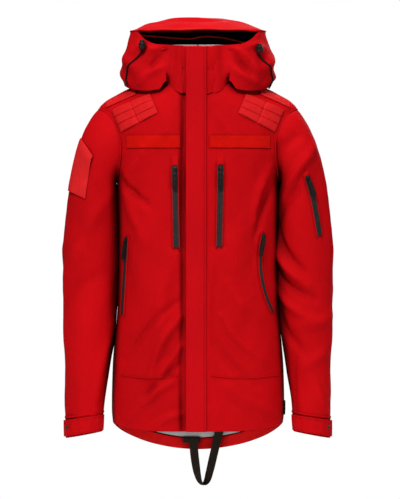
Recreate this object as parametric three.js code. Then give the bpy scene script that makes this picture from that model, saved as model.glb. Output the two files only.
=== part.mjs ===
// Foul weather jacket with its collar zipped up and its hood slumped, hanging from the loop in its neck.
// Millimetres. +Z is up, the front faces -Y and the wearer's left side is +X.
// The origin is the hanger loop at the back of the neck.
import * as THREE from 'three';

// Driving dimensions
const RIDGE_Y = -62;
const WALL = 1.6;
const FRONT_TOP = new THREE.Vector3(0, -172, 63);
const FRONT_BOTTOM = new THREE.Vector3(0, -190, -739);
const FRONT_HEM_Z = -738;
const SIDE_HEM_Z = -722;
const BACK_HEM_Z = -784;
const ZIP_EDGE_X = 14.2;
const NECK_HALF_WIDTH = 74;
const NECK_FRONT_Z = -42;
const ARMHOLE = { z: -142, height: 76, depth: 70, lift: 0.6 };
const HOOD_Y = -45;
const CROWN = { ringZ: 97, rise: 29 };
const PULL = { width: 9, length: 38, lift: 6.9, thickness: 2.4 };
const SLIDER = { width: 11, length: 13, low: 3.4, high: 6.4 };
const CORD_RADIUS = 1.5;

// Colours and surface values of the materials
const FINISH = {
  shell: [0xbe0710, 0.75],
  loop: [0xcd120c, 0.95],
  webbing: [0xd81a20, 0.85],
  dark: [0x16130f, 0.5],
  tape: [0x33302c, 0.7],
  lining: [0xa6a5a1, 0.9],
  hoodLining: [0x0c0b0b, 0.95],
  strap: [0x2e2721, 0.85],
};

const jacket = new THREE.Group();

function addPart(name, geometry, finish) {
  const [color, roughness] = FINISH[finish];
  const mesh = new THREE.Mesh(geometry, new THREE.MeshStandardMaterial({ color, roughness, metalness: 0 }));
  mesh.name = name;
  mesh.userData.slot = finish;
  jacket.add(mesh);
  return mesh;
}

// A monotone cubic through [position, value] knots given in rising order of position.
function profile(knots) {
  const count = knots.length;
  const slopes = [];
  for (let i = 0; i < count - 1; i += 1) {
    slopes.push((knots[i + 1][1] - knots[i][1]) / (knots[i + 1][0] - knots[i][0]));
  }
  const tangents = knots.map((knot, i) => {
    const before = slopes[Math.max(i - 1, 0)];
    const after = slopes[Math.min(i, count - 2)];
    return before * after <= 0 ? 0 : (2 * before * after) / (before + after);
  });
  return (position) => {
    const p = THREE.MathUtils.clamp(position, knots[0][0], knots[count - 1][0]);
    let i = 0;
    while (i < count - 2 && p > knots[i + 1][0]) i += 1;
    const span = knots[i + 1][0] - knots[i][0];
    const t = (p - knots[i][0]) / span;
    const t2 = t * t;
    const t3 = t2 * t;
    return knots[i][1] * (2 * t3 - 3 * t2 + 1) + knots[i + 1][1] * (3 * t2 - 2 * t3)
      + tangents[i] * span * (t3 - 2 * t2 + t) + tangents[i + 1] * span * (t3 - t2);
  };
}

// Torso: horizontal sections whose half width, depths and squareness change with height.
const halfWidth = profile([
  [-784, 169], [-740, 176], [-690, 181], [-605, 179], [-465, 168], [-345, 166], [-255, 168], [-215, 171],
  [-190, 176], [-150, 186], [-100, 200], [-66, 208], [-50, 195], [-34, 168], [-25, 151], [-10, 110], [0, 74],
]);
const backDepth = profile([
  [-784, 116], [-600, 110], [-420, 106], [-300, 114], [-180, 116], [-100, 104], [-50, 90], [0, 76],
]);
const frontCrown = profile([[-160, 2.6], [-110, 2.3], [-66, 1.8], [-30, 1.5]]);
const frontCorner = profile([[-160, 2.4], [-110, 2], [-66, 1.4], [-30, 1.1]]);
const backCrown = profile([[-110, 2.2], [-60, 1.8]]);
const backCorner = profile([[-110, 2], [-60, 1.3]]);

function frontLineY(z) {
  const slope = (FRONT_BOTTOM.y - FRONT_TOP.y) / (FRONT_BOTTOM.z - FRONT_TOP.z);
  return FRONT_TOP.y + slope * (z - FRONT_TOP.z);
}

function torsoShape(z, isFront) {
  if (isFront) return { depth: frontLineY(z) - RIDGE_Y, crown: frontCrown(z), corner: frontCorner(z) };
  return { depth: backDepth(z), crown: backCrown(z), corner: backCorner(z) };
}

function torsoAcross(x, z, isFront, inset = 0) {
  const shape = torsoShape(z, isFront);
  const share = Math.min(Math.abs(x) / (halfWidth(z) - inset), 1);
  const depth = shape.depth - Math.sign(shape.depth) * inset;
  return new THREE.Vector3(x, RIDGE_Y + depth * (1 - share ** shape.crown) ** (1 / shape.corner), z);
}

// The torso point at an angle round the body: 0 is the front, 90 degrees is the wearer's left.
function torsoPoint(angle, z, inset = 0) {
  const x = (halfWidth(z) - inset) * Math.sin(angle);
  return torsoAcross(x, z, Math.cos(angle) >= 0, inset);
}

function torsoSideX(y, z) {
  const shape = torsoShape(z, y < RIDGE_Y);
  const share = Math.min(Math.abs((y - RIDGE_Y) / shape.depth), 1);
  return halfWidth(z) * (1 - share ** shape.corner) ** (1 / shape.crown);
}

// Turns a grid of surface points, grid[row][column], into a closed sheet between two offsets.
function sheet(grid, low, high, wrap = false) {
  const rows = grid.length;
  const columns = grid[0].length;
  const lastColumn = wrap ? columns : columns - 1;
  const at = (r, c) => grid[r][(c + columns) % columns];
  const normals = grid.map((row, r) => row.map((point, c) => {
    const left = wrap ? at(r, c - 1) : row[Math.max(c - 1, 0)];
    const right = wrap ? at(r, c + 1) : row[Math.min(c + 1, columns - 1)];
    const along = right.clone().sub(left);
    const up = grid[Math.min(r + 1, rows - 1)][c].clone().sub(grid[Math.max(r - 1, 0)][c]);
    return along.cross(up).normalize();
  }));
  const positions = [];
  for (const offset of [high, low]) {
    grid.forEach((row, r) => row.forEach((point, c) => {
      positions.push(...point.clone().addScaledVector(normals[r][c], offset).toArray());
    }));
  }
  const layer = rows * columns;
  const vertex = (side, r, c) => side * layer + r * columns + (c % columns);
  const faces = [];
  const quad = (a, b, c, d) => faces.push(a, b, c, a, c, d);
  for (let r = 0; r < rows - 1; r += 1) {
    for (let c = 0; c < lastColumn; c += 1) {
      quad(vertex(0, r, c), vertex(0, r, c + 1), vertex(0, r + 1, c + 1), vertex(0, r + 1, c));
      quad(vertex(1, r, c), vertex(1, r + 1, c), vertex(1, r + 1, c + 1), vertex(1, r, c + 1));
    }
  }
  const top = rows - 1;
  for (let c = 0; c < lastColumn; c += 1) {
    quad(vertex(0, 0, c), vertex(1, 0, c), vertex(1, 0, c + 1), vertex(0, 0, c + 1));
    quad(vertex(0, top, c), vertex(0, top, c + 1), vertex(1, top, c + 1), vertex(1, top, c));
  }
  const end = columns - 1;
  for (let r = 0; r < top && !wrap; r += 1) {
    quad(vertex(0, r, 0), vertex(0, r + 1, 0), vertex(1, r + 1, 0), vertex(1, r, 0));
    quad(vertex(0, r, end), vertex(1, r, end), vertex(1, r + 1, end), vertex(0, r + 1, end));
  }
  const geometry = new THREE.BufferGeometry();
  geometry.setAttribute('position', new THREE.Float32BufferAttribute(positions, 3));
  geometry.setIndex(faces);
  geometry.computeVertexNormals();
  return geometry;
}

// Samples a surface on a grid of rows and columns, both running from 0 to 1.
function sample(rows, columns, surface, wrap = false) {
  const grid = [];
  for (let r = 0; r <= rows; r += 1) {
    const line = [];
    const count = wrap ? columns - 1 : columns;
    for (let c = 0; c <= count; c += 1) line.push(surface(c / columns, r / rows));
    grid.push(line);
  }
  return grid;
}

// A patch for one side runs outward from the middle, so the right side is sampled the other way round.
function sided(side, share) {
  return side > 0 ? share : 1 - share;
}

function hemZ(angle) {
  const back = Math.max(-Math.cos(angle), 0);
  const front = FRONT_HEM_Z + (SIDE_HEM_Z - FRONT_HEM_Z) * Math.abs(Math.sin(angle)) ** 6;
  return Math.cos(angle) >= 0 ? front : SIDE_HEM_Z + (BACK_HEM_Z - SIDE_HEM_Z) * back ** 1.3;
}

const SKIRT_TOP_Z = -600;
const BODY_ROWS = [
  -600, -530, -465, -405, -345, -285, -240, -218, -206, -190, -166, -142, -118, -94, -78, -69, -66, -52, -38, -26,
  -16, -7, -2,
];

function rowHeight(row, angle) {
  const skirtRows = 2;
  if (row >= skirtRows) return BODY_ROWS[row - skirtRows];
  return THREE.MathUtils.lerp(hemZ(angle), SKIRT_TOP_Z, row / skirtRows);
}
const BODY_ROW_COUNT = BODY_ROWS.length + 2;

// The angle at which a panel stops: its side seam, or the edge of the armhole.
function sideAngle(z, isFront) {
  const rise = (z - ARMHOLE.z) / ARMHOLE.height;
  const inArmhole = Math.abs(rise) < 1 ? ARMHOLE.depth * Math.sqrt(1 - rise * rise) : 0;
  const reach = inArmhole + 1;
  const y = RIDGE_Y + (isFront ? -reach : reach);
  const fromFront = Math.asin(Math.min(torsoSideX(y, z) / halfWidth(z), 1));
  return isFront ? fromFront : Math.PI - fromFront;
}

function frontStartAngle(z) {
  const neck = z > NECK_FRONT_Z ? NECK_HALF_WIDTH * Math.sqrt((z - NECK_FRONT_Z) / -NECK_FRONT_Z) + 0.8 : 0;
  return Math.asin(Math.min(Math.max(ZIP_EDGE_X, neck) / halfWidth(z), 0.98));
}

function bodyGrid(columns, startAngle, endAngle) {
  const grid = [];
  for (let row = 0; row < BODY_ROW_COUNT; row += 1) {
    const line = [];
    for (let c = 0; c <= columns; c += 1) {
      const nominal = rowHeight(row, 0);
      const angle = THREE.MathUtils.lerp(startAngle(nominal), endAngle(nominal), c / columns);
      line.push(torsoPoint(angle, rowHeight(row, angle)));
    }
    grid.push(line);
  }
  return grid;
}

function makeFrontPanel(side) {
  const from = (z) => (side > 0 ? frontStartAngle(z) : -sideAngle(z, true));
  const to = (z) => (side > 0 ? sideAngle(z, true) : -frontStartAngle(z));
  return sheet(bodyGrid(8, from, to), -WALL, 0);
}

function makeBackPanel() {
  const from = (z) => sideAngle(z, false);
  const to = (z) => 2 * Math.PI - sideAngle(z, false);
  return sheet(bodyGrid(16, from, to), -WALL, 0);
}

function makeBodyLining() {
  const edge = 0.17;
  const surface = (u, v) => {
    const angle = THREE.MathUtils.lerp(edge, 2 * Math.PI - edge, u);
    const z = THREE.MathUtils.lerp(hemZ(angle) + 26, -226, v);
    return torsoPoint(angle, z, 8);
  };
  return sheet(sample(4, 20, surface), -WALL, 0);
}

function makeHemFacing() {
  const surface = (u, v) => {
    const angle = THREE.MathUtils.lerp(1.75, 2 * Math.PI - 1.75, u);
    const z = THREE.MathUtils.lerp(hemZ(angle) + 0.8, hemZ(angle) + 24, v);
    return torsoPoint(angle, z, 4);
  };
  return sheet(sample(1, 16, surface), -1.2, 0);
}

// Collar: from the neck seam up to a top edge that is a rounder ring.
function collarPoint(angle, share, inset = 0) {
  const front = Math.max(Math.cos(angle), 0);
  const baseX = NECK_HALF_WIDTH * Math.sin(angle);
  const baseZ = NECK_FRONT_Z * front * front;
  const base = torsoAcross(baseX, baseZ, Math.cos(angle) >= 0);
  const isFront = Math.cos(angle) >= 0;
  const depth = isFront ? -92 : 82;
  const around = (1 - Math.abs(Math.sin(angle)) ** (isFront ? 2.4 : 2.2)) ** 0.5;
  const topZ = 63 + 3 * (1 - Math.cos(angle));
  const top = new THREE.Vector3(baseX, -80 + depth * around, topZ);
  const point = base.lerp(top, share);
  const inward = new THREE.Vector3(point.x, point.y + 75, 0).normalize();
  return point.addScaledVector(inward, -inset);
}

function makeCollar(side) {
  const surface = (u, v) => {
    const angle = THREE.MathUtils.lerp(0.2, Math.PI - 0.012, sided(side, u));
    return collarPoint(side * angle, 0.015 + 0.985 * v);
  };
  return sheet(sample(3, 12, surface), -WALL, 0);
}

function makeCollarLining() {
  const surface = (u, v) => {
    const angle = THREE.MathUtils.lerp(0.42, 2 * Math.PI - 0.42, u);
    return collarPoint(angle, 0.1 + 0.96 * v, 4);
  };
  return sheet(sample(2, 16, surface), -1.2, 0);
}

// A straight bar that follows the front closure: its section is given in x and distance outward.
function closureBar(section, topZ, bottomZ) {
  const shape = new THREE.Shape(section.map(([x, out]) => new THREE.Vector2(x, out)));
  const across = new THREE.Vector3(1, 0, 0);
  const down = FRONT_BOTTOM.clone().sub(FRONT_TOP).normalize();
  const basis = new THREE.Matrix4().makeBasis(across, down.clone().cross(across), down);
  basis.setPosition(new THREE.Vector3(0, frontLineY(topZ), topZ));
  const length = (topZ - bottomZ) / -down.z;
  return new THREE.ExtrudeGeometry(shape, { depth: length, bevelEnabled: false }).applyMatrix4(basis);
}

function makeZipTape(side) {
  const section = [
    [0.5, -5.8], [2.6, -5.8], [2.6, -5], [13.5, -5], [13.5, -3.8], [2.6, -3.8], [2.6, -2], [0.5, -2],
  ];
  const sidedSection = section.map(([x, out]) => [side * x, out]);
  return closureBar(side > 0 ? sidedSection : sidedSection.reverse(), 60, -733);
}

function makeFlap() {
  return closureBar([[-25, 4.4], [-4, 5.4], [18, 4.4], [18, 7], [-4, 8], [-25, 7]], 63, -739);
}

function makeLoopPanel(side) {
  const [inner, outer] = side > 0 ? [24, 150] : [37, 148];
  const surface = (u, v) => {
    const x = THREE.MathUtils.lerp(inner, outer, sided(side, u));
    return torsoAcross(side * x, THREE.MathUtils.lerp(-148.5, -122.5, v), true);
  };
  return sheet(sample(2, 8, surface), 0.7, 1.9);
}

// Shoulder webbing: a slanted block of three rows that lies on the upper chest.
function makeShoulderWebbing(side) {
  const outerLow = new THREE.Vector2(160, -116);
  const innerLow = new THREE.Vector2(83, -76);
  const outerHigh = new THREE.Vector2(180, -68);
  const innerHigh = new THREE.Vector2(100, -36);
  const surface = (u, v) => {
    const s = sided(side, u);
    const low = innerLow.clone().lerp(outerLow, s);
    const place = low.lerp(innerHigh.clone().lerp(outerHigh, s), v);
    return torsoAcross(side * place.x, place.y, true);
  };
  return sheet(sample(4, 5, surface), 1.1, 2.8);
}

function makeShoulderOverlay(side) {
  const surface = (u, v) => {
    const s = sided(side, u);
    const x = THREE.MathUtils.lerp(143, 192, s);
    const ridge = THREE.MathUtils.lerp(-26, -47.5, s);
    return torsoAcross(side * x, ridge - 3 - 13 * (1 - v), true);
  };
  return sheet(sample(3, 6, surface), 0.9, 2.4);
}

// Zips: x and z are the heights and places of a zip's top, middle and bottom, half is its tape's half width,
// and travel is the share of its length that its slider reaches.
const ZIPS = {
  chest_zip_right: { body: 'front', side: -1, x: [48, 46.5, 45], z: [-186, -271, -356], travel: 0.9, half: 6.5 },
  chest_zip_left: { body: 'front', side: 1, x: [47, 45.5, 44], z: [-184, -269, -354], travel: 0.9, half: 6.5 },
  hand_zip_right: { body: 'front', side: -1, x: [148, 153, 158], z: [-334, -415, -495], travel: 0.9, half: 3.5 },
  hand_zip_left: { body: 'front', side: 1, x: [136, 131, 155], z: [-328, -405, -490], travel: 0.9, half: 3.5 },
  sleeve_zip: { body: 'sleeve', side: 1, travel: 0.86, half: 6 },
};
const SLEEVE_ZIP = { from: { station: 3.9, angle: 1.27 }, to: { station: 6.4, angle: 0.99 } };

function quadratic(values, t) {
  const [start, middle, end] = values;
  const control = 2 * middle - (start + end) / 2;
  return (1 - t) * (1 - t) * start + 2 * t * (1 - t) * control + t * t * end;
}

// A point of a zip: t runs from its top to its bottom, and across is in millimetres.
function zipSurface(zip, t, across) {
  if (zip.body === 'sleeve') {
    const station = THREE.MathUtils.lerp(SLEEVE_ZIP.from.station, SLEEVE_ZIP.to.station, t);
    const angle = THREE.MathUtils.lerp(SLEEVE_ZIP.from.angle, SLEEVE_ZIP.to.angle, t);
    return sleevePoint(zip.side, station, angle - across / 55);
  }
  const z = THREE.MathUtils.lerp(zip.z[0], zip.z[2], t);
  return torsoAcross(zip.side * quadratic(zip.x, t) + across, z, true);
}

function zipFrame(zip, t) {
  const step = 0.02;
  const origin = zipSurface(zip, t, 0);
  const up = zipSurface(zip, t - step, 0).sub(zipSurface(zip, t + step, 0)).normalize();
  const across = zipSurface(zip, t, 2).sub(zipSurface(zip, t, -2));
  const out = across.cross(up).normalize();
  if (out.y > 0) out.negate();
  return { origin, up, out, across: up.clone().cross(out).normalize() };
}

function makeZipTapeOnShell(zip) {
  const surface = (u, v) => zipSurface(zip, 1 - v, THREE.MathUtils.lerp(-zip.half, zip.half, u));
  return sheet(sample(8, 2, surface), 0.9, 2);
}

// Places a flat shape drawn in the zip's own frame, between two heights above the shell.
function onZip(zip, t, shape, low, high) {
  const { origin, up, out, across } = zipFrame(zip, t);
  const basis = new THREE.Matrix4().makeBasis(across, up, out);
  basis.setPosition(origin.addScaledVector(out, low));
  const geometry = new THREE.ExtrudeGeometry(shape, { depth: high - low, bevelEnabled: false, curveSegments: 4 });
  return geometry.applyMatrix4(basis);
}

function roundedTab(width, top, bottom) {
  const half = width / 2;
  const corner = half * 0.55;
  const shape = new THREE.Shape();
  shape.moveTo(-half, top - corner);
  shape.quadraticCurveTo(-half, top, -half + corner, top);
  shape.lineTo(half - corner, top);
  shape.quadraticCurveTo(half, top, half, top - corner);
  shape.lineTo(half, bottom + corner);
  shape.quadraticCurveTo(half, bottom, half - corner, bottom);
  shape.lineTo(-half + corner, bottom);
  shape.quadraticCurveTo(-half, bottom, -half, bottom + corner);
  shape.closePath();
  return shape;
}

const ZIP_START = 0.05;

function addZip(name, zip) {
  addPart(`${name}_tape`, makeZipTapeOnShell(zip), 'tape');
  const slider = roundedTab(SLIDER.width, SLIDER.length / 2, -SLIDER.length / 2);
  addPart(`${name}_slider`, onZip(zip, ZIP_START, slider, SLIDER.low, SLIDER.high), 'dark');
  const pull = roundedTab(PULL.width, 0, -PULL.length);
  addPart(`${name}_pull`, onZip(zip, ZIP_START, pull, PULL.lift, PULL.lift + PULL.thickness), 'dark');
  const start = zipFrame(zip, ZIP_START);
  const places = [ZIP_START, (ZIP_START + zip.travel) / 2, zip.travel].map((t) => {
    const frame = zipFrame(zip, t);
    return frame.origin.addScaledVector(frame.out, 4);
  });
  const hinge = start.origin.clone().addScaledVector(start.out, PULL.lift);
  jacket.userData[name] = { places, hinge, across: start.across, out: start.out, up: start.up };
}

// Sleeves: rings between an outer and an inner edge, from the armhole at station 0 to the cuff at 12.
// Each row is outer x, outer z, inner x, inner z, centre y and half depth.
const SLEEVE_STATIONS = [
  [208, -66, 171.5, -218, -62, 70],
  [222, -78, 173, -224, -62, 70],
  [237, -104, 174.5, -232, -62, 69],
  [250, -140, 174, -244, -62, 67],
  [261, -184, 173.5, -262, -62, 65],
  [271, -236, 172.5, -290, -63, 63],
  [278, -300, 172.5, -330, -64, 61],
  [282, -366, 173, -378, -65, 60],
  [283, -426, 174, -426, -66, 59],
  [282, -520, 178, -520, -72, 56],
  [279, -605, 186, -605, -82, 52],
  [278, -694, 196, -683, -92, 47],
  [277, -754, 200, -740, -98, 45],
];
const ELBOW_STATION = 8;
const CUFF_STATION = 12;
const sleeveProfiles = SLEEVE_STATIONS[0].map((_, i) => (
  profile(SLEEVE_STATIONS.map((row, station) => [station, row[i]]))
));

function armholePoint(angle) {
  const z = ARMHOLE.z + ARMHOLE.height * Math.cos(angle);
  const y = RIDGE_Y - ARMHOLE.depth * Math.sin(angle);
  return new THREE.Vector3(torsoSideX(y, z) + ARMHOLE.lift, y, z);
}

// Angle 0 is the sleeve's outer edge, 90 degrees its front and 180 degrees its inner edge.
function sleevePoint(side, station, angle) {
  const [outerX, outerZ, innerX, innerZ, centreY, halfDepth] = sleeveProfiles.map((at) => at(station));
  const reach = Math.cos(angle) / 2;
  const x = (outerX + innerX) / 2 + (outerX - innerX) * reach;
  const z = (outerZ + innerZ) / 2 + (outerZ - innerZ) * reach;
  const ring = new THREE.Vector3(x, centreY - halfDepth * Math.sin(angle), z);
  const point = armholePoint(angle).lerp(ring, THREE.MathUtils.smoothstep(station, 0, 3));
  point.x *= side;
  return point;
}

function makeSleeveTube(side, from, to, rows) {
  const surface = (u, v) => sleevePoint(side, THREE.MathUtils.lerp(from, to, v), side * 2 * Math.PI * u);
  return sheet(sample(rows, 16, surface, true), -WALL, 0, true);
}

// A patch on a sleeve between two angles and two stations.
function sleevePatch(side, stations, angles, rows, columns, low, high) {
  const surface = (u, v) => {
    const angle = THREE.MathUtils.lerp(angles[0], angles[1], sided(side, u));
    return sleevePoint(side, THREE.MathUtils.lerp(stations[0], stations[1], v), angle);
  };
  return sheet(sample(rows, columns, surface), low, high);
}

// Hood: horizontal sections from its lower rim to the ring that carries the crown.
const hoodHalfWidth = profile([[-28, 148], [-14, 155], [8, 158], [34, 157], [60, 152], [84, 146], [97, 142]]);
const hoodBackDepth = profile([[0, 60], [12, 84], [25, 106], [45, 126], [70, 133], [97, 122]]);
const HOOD_FRONT_DEPTH = 112;
const HOOD_CHEEK_ANGLE = 23;
const HOOD_SEAM_ANGLE = 125;
const hoodRim = profile([[23, -5], [33, -26], [45, -29], [62, -27], [90, -14], [120, -4], [150, 4], [180, 4]]);
const hoodLip = profile([[23, 66], [35, 68], [45, 75], [53, 84], [60, 92], [66, 95.5], [180, 95.5]]);

function hoodPoint(degrees, z, inset = 0) {
  const angle = THREE.MathUtils.degToRad(degrees);
  const depth = Math.cos(angle) >= 0 ? inset - HOOD_FRONT_DEPTH : hoodBackDepth(z) - inset;
  const across = Math.sin(angle);
  const around = (1 - Math.min(Math.abs(across), 1) ** 2.6) ** 0.4;
  return new THREE.Vector3((hoodHalfWidth(z) - inset) * across, HOOD_Y + depth * around, z);
}

function hoodBand(fromDegrees, toDegrees, rows, columns, inset, thickness) {
  const surface = (u, v) => {
    const degrees = THREE.MathUtils.lerp(fromDegrees, toDegrees, u);
    const folded = Math.abs(degrees > 180 ? 360 - degrees : degrees);
    return hoodPoint(degrees, THREE.MathUtils.lerp(hoodRim(folded) + inset, hoodLip(folded) - inset / 4, v), inset);
  };
  return sheet(sample(rows, columns, surface), -thickness, 0);
}

// The crown is a shallow dome over the ring, laid out on a square grid that is rounded to the ring.
function crownPoint(u, v) {
  const a = 2 * u - 1;
  const b = 2 * v - 1;
  const across = a * Math.sqrt(1 - (b * b) / 2);
  const along = b * Math.sqrt(1 - (a * a) / 2);
  const radius = Math.min(Math.hypot(across, along), 1);
  const depth = along < 0 ? HOOD_FRONT_DEPTH : hoodBackDepth(CROWN.ringZ);
  const square = 1 + 0.09 * Math.sin(2 * Math.atan2(along, across)) ** 2 * radius;
  return new THREE.Vector3(
    hoodHalfWidth(CROWN.ringZ) * across * square,
    HOOD_Y + depth * along * square,
    CROWN.ringZ + 1 + CROWN.rise * (1 - radius * radius) ** 0.75,
  );
}

function makeBrim() {
  const surface = (u, v) => {
    const degrees = THREE.MathUtils.lerp(-60, 60, u);
    const point = hoodPoint(degrees, CROWN.ringZ);
    const outward = new THREE.Vector3(point.x, point.y - HOOD_Y, 0).normalize();
    const reach = 3 + v * 9 * Math.cos(THREE.MathUtils.degToRad(degrees * 1.4));
    return point.addScaledVector(outward, reach).setZ(CROWN.ringZ + 1.5 - 3 * v);
  };
  return sheet(sample(2, 14, surface), -1, 1);
}

// Cord locks: a barrel with a sprung button in its open top, standing on the hood beside the opening.
const LOCKS = {
  right: { degrees: -46, z: 58 },
  left: { degrees: 52, z: 51 },
};
const LOCK = { radius: 7.5, bore: 5.4, height: 13, floor: 3, button: 4.9, shown: 6, travel: 4 };

function lockFrame(lock) {
  const base = hoodPoint(lock.degrees, lock.z);
  const outward = new THREE.Vector3(base.x, base.y - HOOD_Y, 0).normalize();
  return base.addScaledVector(outward, LOCK.radius + 1.2);
}

function turned(outline, centre) {
  const points = outline.map(([radius, height]) => new THREE.Vector2(radius, height));
  return new THREE.LatheGeometry(points, 10).rotateX(Math.PI / 2).translate(centre.x, centre.y, centre.z);
}

function addCordLock(sideName, lock) {
  const centre = lockFrame(lock);
  const { radius, bore, height, floor, button, shown, travel } = LOCK;
  const barrel = [
    [0, 0], [radius - 1.5, 0], [radius, 2], [radius, height - 1.5], [radius - 1, height], [bore, height],
    [bore, floor], [0, floor],
  ];
  const foot = floor + travel + 0.4;
  const top = height + shown;
  const plunger = [[0, foot], [button, foot], [button, top - 1.5], [button - 1.5, top], [0, top]];
  addPart(`cord_lock_${sideName}`, turned(barrel, centre), 'dark');
  addPart(`cord_lock_button_${sideName}`, turned(plunger, centre), 'dark');
  jacket.userData[`lock_${sideName}`] = { centre };
}

// The drawcord shows from below its lock down to the rim of the hood.
function makeDrawcord(lock) {
  const side = Math.sign(lock.degrees);
  const route = [[0, -3], [6, -16], [15, -32], [22, -48], [25, -62], [24, -74]];
  const points = route.map(([turn, drop]) => {
    const point = hoodPoint(lock.degrees + side * turn, lock.z + drop);
    const outward = new THREE.Vector3(point.x, point.y - HOOD_Y, 0).normalize();
    return point.addScaledVector(outward, CORD_RADIUS + (drop > -10 ? 4 : 1.4));
  });
  const section = new THREE.Shape();
  section.absarc(0, 0, CORD_RADIUS, 0, 2 * Math.PI);
  const extrudePath = new THREE.CatmullRomCurve3(points);
  return new THREE.ExtrudeGeometry(section, { steps: 14, extrudePath, curveSegments: 4 });
}

// Tail strap: a loop of flat webbing that turns edge-on at its bottom.
const STRAP = { y: 34, halfWidth: 9, thickness: 1.6 };
const STRAP_ROUTE = [
  [-9, -772], [-8, -790], [-5, -815], [-1, -838], [4, -853], [11, -859], [18, -853], [25, -830], [32, -800],
  [39, -770], [46, -741],
];
const strapTwist = profile([[0, 0], [0.2, 0.15], [0.5, 1.05], [0.8, 0.3], [1, 0.2]]);

function makeTailStrap() {
  const path = new THREE.CatmullRomCurve3(STRAP_ROUTE.map(([x, z]) => new THREE.Vector3(x, STRAP.y, z)));
  const surface = (u, v) => {
    const twist = strapTwist(v);
    const across = new THREE.Vector3(Math.cos(twist), -Math.sin(twist), 0);
    return path.getPoint(v).addScaledVector(across, STRAP.halfWidth * (1 - 2 * u));
  };
  return sheet(sample(20, 2, surface), -STRAP.thickness / 2, STRAP.thickness / 2);
}

function box(width, depth, height, x, y, z) {
  return new THREE.BoxGeometry(width, depth, height).translate(x, y, z);
}

function makeHangerLoop() {
  const band = new THREE.Shape();
  band.absellipse(0, 0, 30, 11, 0, 2 * Math.PI);
  const hole = new THREE.Path();
  hole.absellipse(0, 0, 27.5, 8.5, 0, 2 * Math.PI, true);
  band.holes.push(hole);
  const geometry = new THREE.ExtrudeGeometry(band, { depth: 6, bevelEnabled: false, curveSegments: 8 });
  return geometry.rotateX(Math.PI / 2).translate(0, 3, -8.5);
}

function makePocketBag(side) {
  const surface = (u, v) => {
    const x = THREE.MathUtils.lerp(62, 150, sided(side, u));
    return torsoAcross(side * x, THREE.MathUtils.lerp(-540, -360, v), true, 3);
  };
  return sheet(sample(4, 4, surface), -1.4, 0);
}

// Assembly
for (const [sideName, side] of [['right', -1], ['left', 1]]) {
  addPart(`front_panel_${sideName}`, makeFrontPanel(side), 'shell');
  addPart(`collar_${sideName}`, makeCollar(side), 'shell');
  addPart(`main_zip_tape_${sideName}`, makeZipTape(side), 'tape');
  addPart(`chest_loop_panel_${sideName}`, makeLoopPanel(side), 'loop');
  addPart(`shoulder_webbing_${sideName}`, makeShoulderWebbing(side), 'webbing');
  addPart(`shoulder_overlay_${sideName}`, makeShoulderOverlay(side), 'shell');
  addPart(`hand_pocket_bag_${sideName}`, makePocketBag(side), 'lining');
  addPart(`upper_sleeve_${sideName}`, makeSleeveTube(side, 0, ELBOW_STATION - 0.01, 9), 'shell');
  addPart(`forearm_${sideName}`, makeSleeveTube(side, ELBOW_STATION + 0.005, CUFF_STATION, 5), 'shell');
  addPart(`cuff_tab_${sideName}`, sleevePatch(side, [11.35, 11.95], [0.05, 2.9], 1, 10, 1.2, 3.2), 'shell');
  const cheek = side * HOOD_CHEEK_ANGLE;
  const seam = side * HOOD_SEAM_ANGLE;
  addPart(`hood_side_${sideName}`, hoodBand(Math.min(cheek, seam), Math.max(cheek, seam), 5, 10, 0, WALL), 'shell');
  addCordLock(sideName, LOCKS[sideName]);
  addPart(`drawcord_${sideName}`, makeDrawcord(LOCKS[sideName]), 'dark');
}
addPart('back_panel', makeBackPanel(), 'shell');
addPart('body_lining', makeBodyLining(), 'lining');
addPart('hem_facing', makeHemFacing(), 'shell');
addPart('collar_lining', makeCollarLining(), 'lining');
addPart('inner_placket', closureBar([[-22, -9], [22, -9], [22, -7.6], [-22, -7.6]], 55, -728), 'shell');
addPart('main_zip_slider', closureBar([[-5.5, -1.2], [5.5, -1.2], [5.5, 3], [-5.5, 3]], 52, 38), 'dark');
addPart('storm_flap', makeFlap(), 'shell');
addPart('hood_back', hoodBand(HOOD_SEAM_ANGLE + 0.4, 359.6 - HOOD_SEAM_ANGLE, 5, 8, 0, WALL), 'shell');
addPart('hood_crown', sheet(sample(8, 8, crownPoint), -WALL, 0), 'shell');
addPart('hood_brim', makeBrim(), 'shell');
addPart('hood_lining', hoodBand(68, 292, 4, 14, 6, 1.2), 'hoodLining');
for (const [name, zip] of Object.entries(ZIPS)) addZip(name, zip);
addPart('sleeve_loop_panel', sleevePatch(-1, [2.7, 5], [-0.35, 1.25], 3, 6, 1.4, 2.6), 'loop');
addPart('tail_strap_anchor', box(37, 4, 12, -13.5, 38.4, -764), 'strap');
addPart('tail_strap', makeTailStrap(), 'strap');
addPart('hanger_loop', makeHangerLoop(), 'dark');

export default jacket;
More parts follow.
